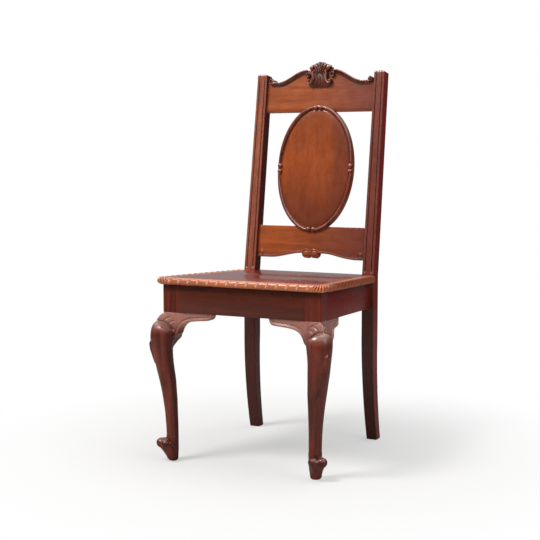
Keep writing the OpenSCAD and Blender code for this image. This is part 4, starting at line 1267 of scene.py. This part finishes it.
def rail_rings(low_edge, high_edge, groove=()):
    """Sections of a back rail along x, with eased edges and a line cut above the lower edge."""
    rings = []
    ease = RAIL_EASE
    for x, low, high in np.column_stack(np.broadcast_arrays(RAIL_X, low_edge, high_edge)):
        front = [(ease, low), (0.3, low + 0.3), (0, low + ease)]
        front += [(depth, low + GROOVE_UP + up) for up, depth in groove]
        front += [(0, up) for up in np.linspace(low + 8, high - 2, 7)]
        front += [(0, high - ease), (0.3, high - 0.3), (ease, high)]
        rear = [(BACK_T - ease, high), (BACK_T, high - ease), (BACK_T, low + ease), (BACK_T - ease, low)]
        rings.append(on_back([(x, BACK_SET + d, up) for d, up in front + rear]))
    return rings


# Share of the disc's radius, and depth behind the rail's face, from its back to its middle
DISC_SHARES = [(1, BACK_T - 1), (1, 0.8), (0.95, -0.6), (0.88, -1.0), (0.80, -0.8), (0.74, 0.5),
               (0.64, 0.5), (0.58, -0.6), (0.46, -1.2), (0.2, -1.4), (0.03, -1.4)]
DISC_SIDES = 56


def turned_disc(solid, centre, radius):
    """A disc through the rail with a ring cut into its face."""
    solid.loft([face_ring(circle(centre, radius * share, DISC_SIDES), BACK_SET + depth)
                for share, depth in DISC_SHARES])


def lower_rail():
    rail = Solid()
    rail.loft(rail_rings(lower_edge(RAIL_X), LOWER_TOP, GROOVE))
    for side in (-1, 1):
        turned_disc(rail, (side * DISC_R * 0.96, LOWER_LOW + DISC_R * 1.04), DISC_R)
        end = (side * (POST_IN_X - END_DISC_R * 1.33), LOWER_LOW + END_DISC_R * 1.5)
        turned_disc(rail, end, END_DISC_R)
    make("shaped_lower_rail", rail, "back_wood", crest_wood, ["lower_back_rail"], sharp=38)


END_VOLUTE = (POST_IN_X - VOLUTE_R * 1.45, CREST_END + VOLUTE_R * 0.29)
MID_VOLUTE = (SHELL_HALF_W * 1.13, CREST_END + CREST_RISE * 0.545)
# Depth and share of the volute's radius, in the wood behind it
BACKING_SHARES = [(BACK_T, 0.86), (BACK_T - 1, 0.92), (0, 0.92)]
BACKING_SIDES = 44
SHELL_BACKING_SHARE = 0.93


def crest_rail():
    rail = Solid()
    rail.loft(rail_rings(CREST_LOW, crest_edge(RAIL_X)))
    for side in (-1, 1):
        centre = (side * END_VOLUTE[0], END_VOLUTE[1])
        rail.loft([face_ring(circle(centre, VOLUTE_R * share, BACKING_SIDES), BACK_SET + depth)
                   for depth, share in BACKING_SHARES])
    outline = shell_outline(SHELL_BACKING_SHARE)
    rail.loft([face_ring(outline, BACK_SET + depth) for depth in (BACK_T - 0.8, 0)])
    make("shaped_crest_rail", rail, "back_wood", crest_wood, ["crest_rail"], sharp=38)


# Height from the top edge, and share of LIP_OUT behind the rail's face
LIP_PROFILE = [(0.2, BURY), (0.5, -0.6), (-0.2, -0.96), (-1.2, -1), (-3.2, -1), (-4.3, -0.9), (-4.7, -0.74),
               (-5.2, -0.55), (-6.6, -0.38), (-8.6, -0.22), (-10.6, -0.12), (-12.0, -0.09), (-12.5, 0.05),
               (-12.5, BURY)]


def crest_moulding():
    """A lip with a cove under it, along the top edge, between two volutes."""
    solid = Solid()
    x = np.linspace(MID_VOLUTE[0] + 3, END_VOLUTE[0] - 2, 110)
    path = np.column_stack([x, crest_edge(x)])
    way = np.gradient(path, axis=0)
    way /= np.linalg.norm(way, axis=1)[:, None]
    up = np.column_stack([-way[:, 1], way[:, 0]])
    height, out = np.array(LIP_PROFILE).T
    depth = BACK_SET + np.where(out > 1, BURY, out * LIP_OUT)
    solid.loft([face_ring(p + n * height[:, None], depth) for p, n in zip(path, up)])
    volute(solid, END_VOLUTE, VOLUTE_R, LIP_OUT, BACK_SET, 115, -1.1)
    volute(solid, MID_VOLUTE, VOLUTE_R * 0.95, LIP_OUT, BACK_SET, 40, 1.1)
    make_pair("scrolled_moulding", solid, "back_wood", carved_wood, ["crest_moulding"],
              sharp=60, voxel=0.6, rounds=2)


SHELL_SHARES = [
    [0, 0], [0.22, 0.03], [0.40, 0.02], [0.62, 0.01], [0.85, 0.03], [1.0, 0.09], [1.03, 0.17],
    [0.93, 0.25], [0.76, 0.31], [0.63, 0.41], [0.56, 0.54], [0.60, 0.64], [0.78, 0.675],
    [0.94, 0.72], [1.0, 0.79], [0.94, 0.86], [0.76, 0.90], [0.52, 0.93], [0.34, 0.98],
    [0.16, 1.0], [0, 1.0]]


def shell_outline(size):
    half = np.array(SHELL_SHARES)
    right = np.column_stack([half[:, 0] * SHELL_HALF_W * size,
                             SHELL_LOW + SHELL_H * (0.5 + (half[:, 1] - 0.5) * size)])
    left = right[-2:0:-1] * (-1, 1)
    return np.concatenate([right, left])


def curve(points, steps):
    """A smooth line through a few points."""
    p = np.asarray(points, float)
    s = np.concatenate([[0], np.cumsum(np.linalg.norm(np.diff(p, axis=0), axis=1))])
    even = np.linspace(0, s[-1], steps)
    table = np.column_stack([s, p])
    return np.column_stack([spline(table, 1, even), spline(table, 2, even)])


# Size of the shell's ground and its height, as shares
GROUND_SHARES = [(1.0, -0.08), (1.0, 0.2), (0.97, 0.40), (0.88, 0.50), (0.70, 0.56)]
# Paths of the carving on the shell: distance from the middle, height above the shell's foot
RIBS = [
    ([(0, 69.5), (0, 60), (0, 44)], 4.6),
    ([(9.5, 66.5), (6.4, 58), (3.4, 47), (2.2, 38)], 3.0),
    ([(20, 63.0), (13.6, 55), (8.2, 44), (6.4, 34)], 3.9),
]
SCROLL = [(18.4, 47), (19.4, 37), (18.8, 27), (20.6, 17.5), (25.6, 11.4), (31.4, 11.4), (34.2, 16.0),
          (32.4, 19.4)]
SCROLL_HALF = [[0, 2.6], [0.25, 4.4], [0.45, 6.0], [0.65, 5.4], [0.88, 3.6], [1, 2.6]]
SCROLL_EYE_R = 5.2
PETALS = [([(0, 36), (0, 20), (0, 2.6)], 4.4), ([(4.6, 34), (8.0, 19), (10.2, 4.0)], 4.6)]
BALL = (24.6, 53.5)
BALL_R = 7.8
SHELL_STEPS = 50


def shell_path(points, side):
    return curve([(side * x, SHELL_LOW + up) for x, up in points], SHELL_STEPS)


def crest_shell():
    """Fan of ribs over two scrolls back to back, with petals between their feet."""
    solid = Solid()
    solid.loft([face_ring(shell_outline(size), BACK_SET - SHELL_OUT * high)
                for size, high in GROUND_SHARES])
    t = np.linspace(0, 1, SHELL_STEPS)
    swell = np.sin(math.pi * t)
    taper = ends_taper(SHELL_STEPS, 0.16, 0.7)
    rib_high = (0.92 - 0.16 * t) * ends_taper(SHELL_STEPS, 0.16, 0.8)
    for side in (1, -1):
        strokes = [(rib, wide * (1 - 0.5 * t) * taper, rib_high) for rib, wide in RIBS]
        strokes += [(petal, wide * np.sin(0.5 + (math.pi - 0.8) * t), 0.70 + 0.08 * swell)
                    for petal, wide in PETALS]
        strokes.append((SCROLL, spline(SCROLL_HALF, 1, t), 0.88 + 0.14 * swell))
        for points, half, high in strokes:
            face_ribbon(solid, shell_path(points, side), half, SHELL_OUT * high, BACK_SET)
        eye = (side * SCROLL[-1][0], SHELL_LOW + SCROLL[-1][1] - 1)
        face_dome(solid, eye, SCROLL_EYE_R, SHELL_OUT * 1.05, BACK_SET)
        ball = (side * BALL[0], SHELL_LOW + BALL[1])
        face_dome(solid, ball, BALL_R, SHELL_OUT * 1.1, BACK_SET, plump=0.7)
    make("carved_shell", solid, "back_wood", shell_wood, ["crest_shell"], sharp=60, voxel=0.6, rounds=5)


# Plain pieces keep their solids' shape, with eased edges

BOARD_EASE = 0.5


def plain_pieces():
    for side in ("left", "right"):
        soften("side_rail_" + side, side_rail_wood)
        for end in ("front", "rear"):
            soften("corner_block_" + end + "_" + side, inner_wood)
    soften("front_rail", front_rail_wood)
    soften("back_rail", inner_wood)
    for end in ("front", "rear"):
        soften("seat_board_" + end, board_wood, BOARD_EASE)
    for node in ("corner_block_screws", "seat_screws", "oval_panel_screws"):
        mesh = frame["nodes"][node].data
        mesh.materials.clear()
        mesh.materials.append(screw_metal)


# Stage, lights and camera, in metres

WHITE = (1, 1, 1, 1)
FLOOR_PALE = (0.86, 0.86, 0.85, 1)
FLOOR_DIM = (0.3, 0.29, 0.28, 1)
FLOOR_HALF = 2.6
FLOOR_FADE = (0.25, 0.95, 0.45, 1.0)
# Strengths of the room: its soft light, and what polish mirrors of the backdrop and the sky
SOFT_LIGHT = 0.26
MIRRORED_BACKDROP = 0.3
MIRRORED_LOW = 0.05
MIRRORED_SKY = 2.0
BACKDROP_WAY = (-0.52, 0.85, 0.0)
BACKDROP_RANGE = (0.74, 0.92)
SKY_RANGE = (0.22, 0.75)
# Place, aim, size, power and tint
LAMPS = {
    "key": ((-1.3, -1.9, 3.5), (0, 0, 0.5), 1.1, 98, (1.0, 0.98, 0.95)),
    "fill": ((3.0, -0.6, 1.6), (0, 0, 0.4), 1.6, 16, (1, 1, 1)),
    "top": ((0.6, 0.3, 3.2), (0, 0, 0.4), 2.0, 30, (1, 1, 1)),
}
EYE = (1.2784, -2.4397, 0.7627)
EYE_TILT = math.radians(84.48)
EYE_TURN = math.radians(26.11)
LENS = 76.007


def shown_ray(n):
    """Whether a ray shows the backdrop itself: from the camera, and mirrored or bent."""
    path = n.new("LightPath").outputs
    return path["Is Camera Ray"], n.maths("MAXIMUM", path["Is Glossy Ray"], path["Is Transmission Ray"])


def floor():
    """Pale ground that fades to white, and that the camera looks through from below."""
    mesh = bpy.data.meshes.new("studio_floor")
    corners = [(x * FLOOR_HALF, y * FLOOR_HALF, 0) for x, y in ((-1, -1), (1, -1), (1, 1), (-1, 1))]
    mesh.from_pydata(corners, [], [(0, 1, 2, 3)])
    ground = add_object("studio_floor", mesh)
    material, n, shader = new_material("studio_floor")
    seen, glossy = shown_ray(n)
    diffuse, white = n.new("BsdfDiffuse"), n.new("Emission")
    n.fill(diffuse, {"Color": n.mix(glossy, FLOOR_PALE, FLOOR_DIM)})
    n.fill(white, {"Color": WHITE})
    away = n.vector("LENGTH", n.new("TexCoord").outputs["Object"])["Value"]
    surface = n.blend(n.times(n.ramp(away, *FLOOR_FADE), seen), diffuse.outputs[0], white.outputs[0])
    below = n.times(n.new("NewGeometry").outputs["Backfacing"], seen)
    clear = n.blend(below, surface, n.new("BsdfTransparent").outputs[0])
    n.put(n.tree.nodes["Material Output"].inputs["Surface"], clear)
    n.tree.nodes.remove(shader)
    mesh.materials.append(material)


def world():
    """White to the camera, and softer in the light that it gives and in what polish mirrors."""
    sky = bpy.data.worlds.new("studio")
    bpy.context.scene.world = sky
    sky.use_nodes = True
    n = Nodes(sky.node_tree)
    seen, glossy = shown_ray(n)
    direction = n.new("TexCoord").outputs["Generated"]
    backdrop = n.ramp(n.vector("DOT_PRODUCT", direction, BACKDROP_WAY)["Value"], *BACKDROP_RANGE)
    mirrored = n.maths("MULTIPLY_ADD", backdrop, MIRRORED_BACKDROP, MIRRORED_LOW)
    mirrored = n.maths("MULTIPLY_ADD", n.ramp(n.split(direction)[2], *SKY_RANGE), MIRRORED_SKY, mirrored)
    unseen = n.times(n.maths("SUBTRACT", 1.0, glossy), SOFT_LIGHT)
    strength = n.maths("MAXIMUM", n.maths("MULTIPLY_ADD", glossy, mirrored, unseen), seen)
    n.fill(sky.node_tree.nodes["Background"], {"Color": WHITE, "Strength": strength})


def lights():
    for name, (place, aim, size, power, tint) in LAMPS.items():
        data = bpy.data.lights.new(name, "AREA")
        data.size = size
        data.energy = power
        data.color = tint
        lamp = add_object(name, data)
        lamp.location = place
        lamp.rotation_euler = (Vector(aim) - Vector(place)).to_track_quat("-Z", "Y").to_euler()


def camera():
    data = bpy.data.cameras.new("camera")
    data.sensor_width = 36
    data.lens = LENS
    eye = add_object("camera", data)
    eye.location = (EYE[0], EYE[1] - MID_Y * MM, EYE[2])
    eye.rotation_euler = (EYE_TILT, 0, EYE_TURN)
    bpy.context.scene.camera = eye


camera()
front_legs()
knee_brackets()
rear_posts()
seat_mouldings()
crest_rail()
crest_moulding()
crest_shell()
lower_rail()
oval()
plain_pieces()
floor()
world()
lights()
bpy.context.scene.view_settings.view_transform = "Standard"
